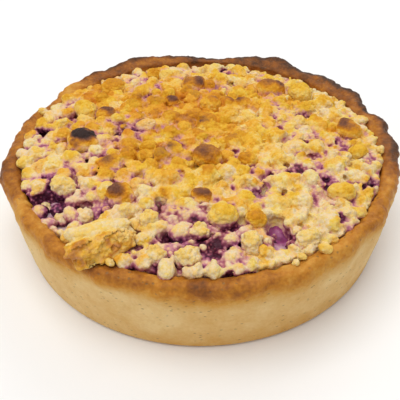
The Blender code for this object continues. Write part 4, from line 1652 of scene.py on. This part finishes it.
@dataclass(frozen=True)
class BerryFilling:
    """The filling of berries: a domed disc with berries that bulge from it, and spots of custard."""

    steps: int = 300
    pitch: float = 0.55 * MM
    berries: int = 420
    berry_radius: float = 3.2 * MM
    berry_height: float = 1.0 * MM

    def build(self) -> None:
        """Makes the filling."""
        lift = FORM.bed_thickness + FIT_GAP
        edge = FORM.inner_wall(FORM.bed_edge - lift) - FIT_GAP
        top = [(r, FORM.dome(r) - lift) for r in np.linspace(0.0, edge, int(edge / self.pitch))]
        low = FORM.floor + FIT_GAP
        profile = top + [(FORM.inner_wall(low) - FIT_GAP, low), (0.0, low)]
        piece = turned("cooked_filling", profile, self.steps)
        points = corners(piece.data)
        x, y, z = points.T
        upper = smooth_step(z, 15.0 * MM, 5.0 * MM)
        z -= FORM.drop(y) * upper
        inside = smooth_step(edge - np.hypot(x, y), 0.0, 2.0 * MM) * upper
        bulge = np.zeros(len(points))
        middles = np.random.default_rng(SEED).uniform(-50.0 * MM, 50.0 * MM, (self.berries, 2))
        for middle_x, middle_y in middles:
            away = np.hypot(x - middle_x, y - middle_y) / self.berry_radius
            bulge = np.maximum(bulge, np.sqrt(np.maximum(0.0, 1.0 - away * away)))
        z += self.berry_height * (bulge - 0.5) * inside
        move_corners(piece.data, points)
        Relief((3.0, 0.25), (0.9, 0.08), seed=1.0).apply(piece, FILLING, inside)
        tone = 0.42 + spots_at(CUSTARD_SPOTS, points) + 0.2 * (soft_noise(points, 6.0, 31) - 0.5)
        store_values(piece.data, TOAST, tone)
        mount(piece, FILLING.slot, "berry_filling")


# ---------------------------------------------------------------------------------------------------------------
# Studio


@dataclass(frozen=True)
class Studio:
    """The pale floor, the soft sky and lamps, and the camera.

    Attributes:
        lamps: Name, place, width, power in watts and colour of each square lamp.
    """

    distance: float = 212.7 * MM
    elevation: float = math.radians(41.2)
    aim: tuple[float, float, float] = (-0.48 * MM, 2.32 * MM, 2.65 * MM)
    roll: float = math.radians(-0.53)
    lens: float = 59.85
    floor_half_width: float = 2.5
    floor_color: tuple[float, ...] = (0.90, 0.90, 0.90, 1.0)
    sky: float = 0.55
    lamps: tuple[tuple, ...] = (
        ("key", (-0.17, -0.10, 0.70), 0.60, 3.3, (1.0, 0.985, 0.96)),
        ("back", (0.25, 0.50, 0.50), 0.45, 1.2, (1.0, 0.985, 0.97)),
    )

    @staticmethod
    def hang(data: bpy.types.ID, place: Vector, turn: Matrix) -> bpy.types.Object:
        """Puts a lamp or the camera in its place.

        Args:
            data: The lamp or camera.
            place: Where it hangs.
            turn: Its turn.

        Returns:
            Its object.
        """
        thing = bpy.data.objects.new(data.name, data)
        thing.location = place
        thing.rotation_euler = turn.to_euler()
        bpy.context.scene.collection.objects.link(thing)
        return thing

    def build(self) -> None:
        """Adds the floor, the sky, the lamps, which point at the tart, and the camera."""
        scene = bpy.context.scene
        self.build_floor()
        scene.world = bpy.data.worlds.new("soft_sky")
        scene.world.use_nodes = True
        background = scene.world.node_tree.nodes["Background"]
        background.inputs["Color"].default_value = (1.0, 1.0, 1.0, 1.0)
        background.inputs["Strength"].default_value = self.sky
        scene.view_settings.view_transform = "Standard"
        for name, place, width, power, color in self.lamps:
            light = bpy.data.lights.new(name, "AREA")
            light.size, light.energy, light.color = width, power, color
            self.hang(light, Vector(place), (-Vector(place)).to_track_quat("-Z", "Y").to_matrix())
        camera = bpy.data.cameras.new("camera")
        camera.lens, camera.sensor_width, camera.clip_start = self.lens, 36.0, 0.01
        place = Vector((0.0, -math.cos(self.elevation), math.sin(self.elevation))) * self.distance
        turn = (place - Vector(self.aim)).to_track_quat("Z", "Y").to_matrix() @ Matrix.Rotation(self.roll, 3, "Z")
        scene.camera = self.hang(camera, place, turn)

    def build_floor(self) -> None:
        """Adds the floor, just under the tart."""
        half = self.floor_half_width
        mesh = bpy.data.meshes.new("pale_floor")
        mesh.from_pydata([(-half, -half, 0), (half, -half, 0), (half, half, 0), (-half, half, 0)], [], [(0, 1, 2, 3)])
        floor = link("pale_floor", mesh)
        floor.location.z = -0.02 * MM
        paint = bpy.data.materials.new("pale_floor")
        paint.use_nodes = True
        shader = paint.node_tree.nodes["Principled BSDF"]
        shader.inputs["Base Color"].default_value = self.floor_color
        shader.inputs["Roughness"].default_value = 0.9
        mesh.materials.append(paint)


def main() -> None:
    """Loads the solids, dresses the tart and sets up the studio."""
    logging.basicConfig(level=logging.INFO, format="%(name)s: %(message)s")
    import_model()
    PastryShell().build()
    BerryFilling().build()
    Streusel().build()
    SLAB.build()
    Studio().build()


if __name__ == "__main__":
    main()
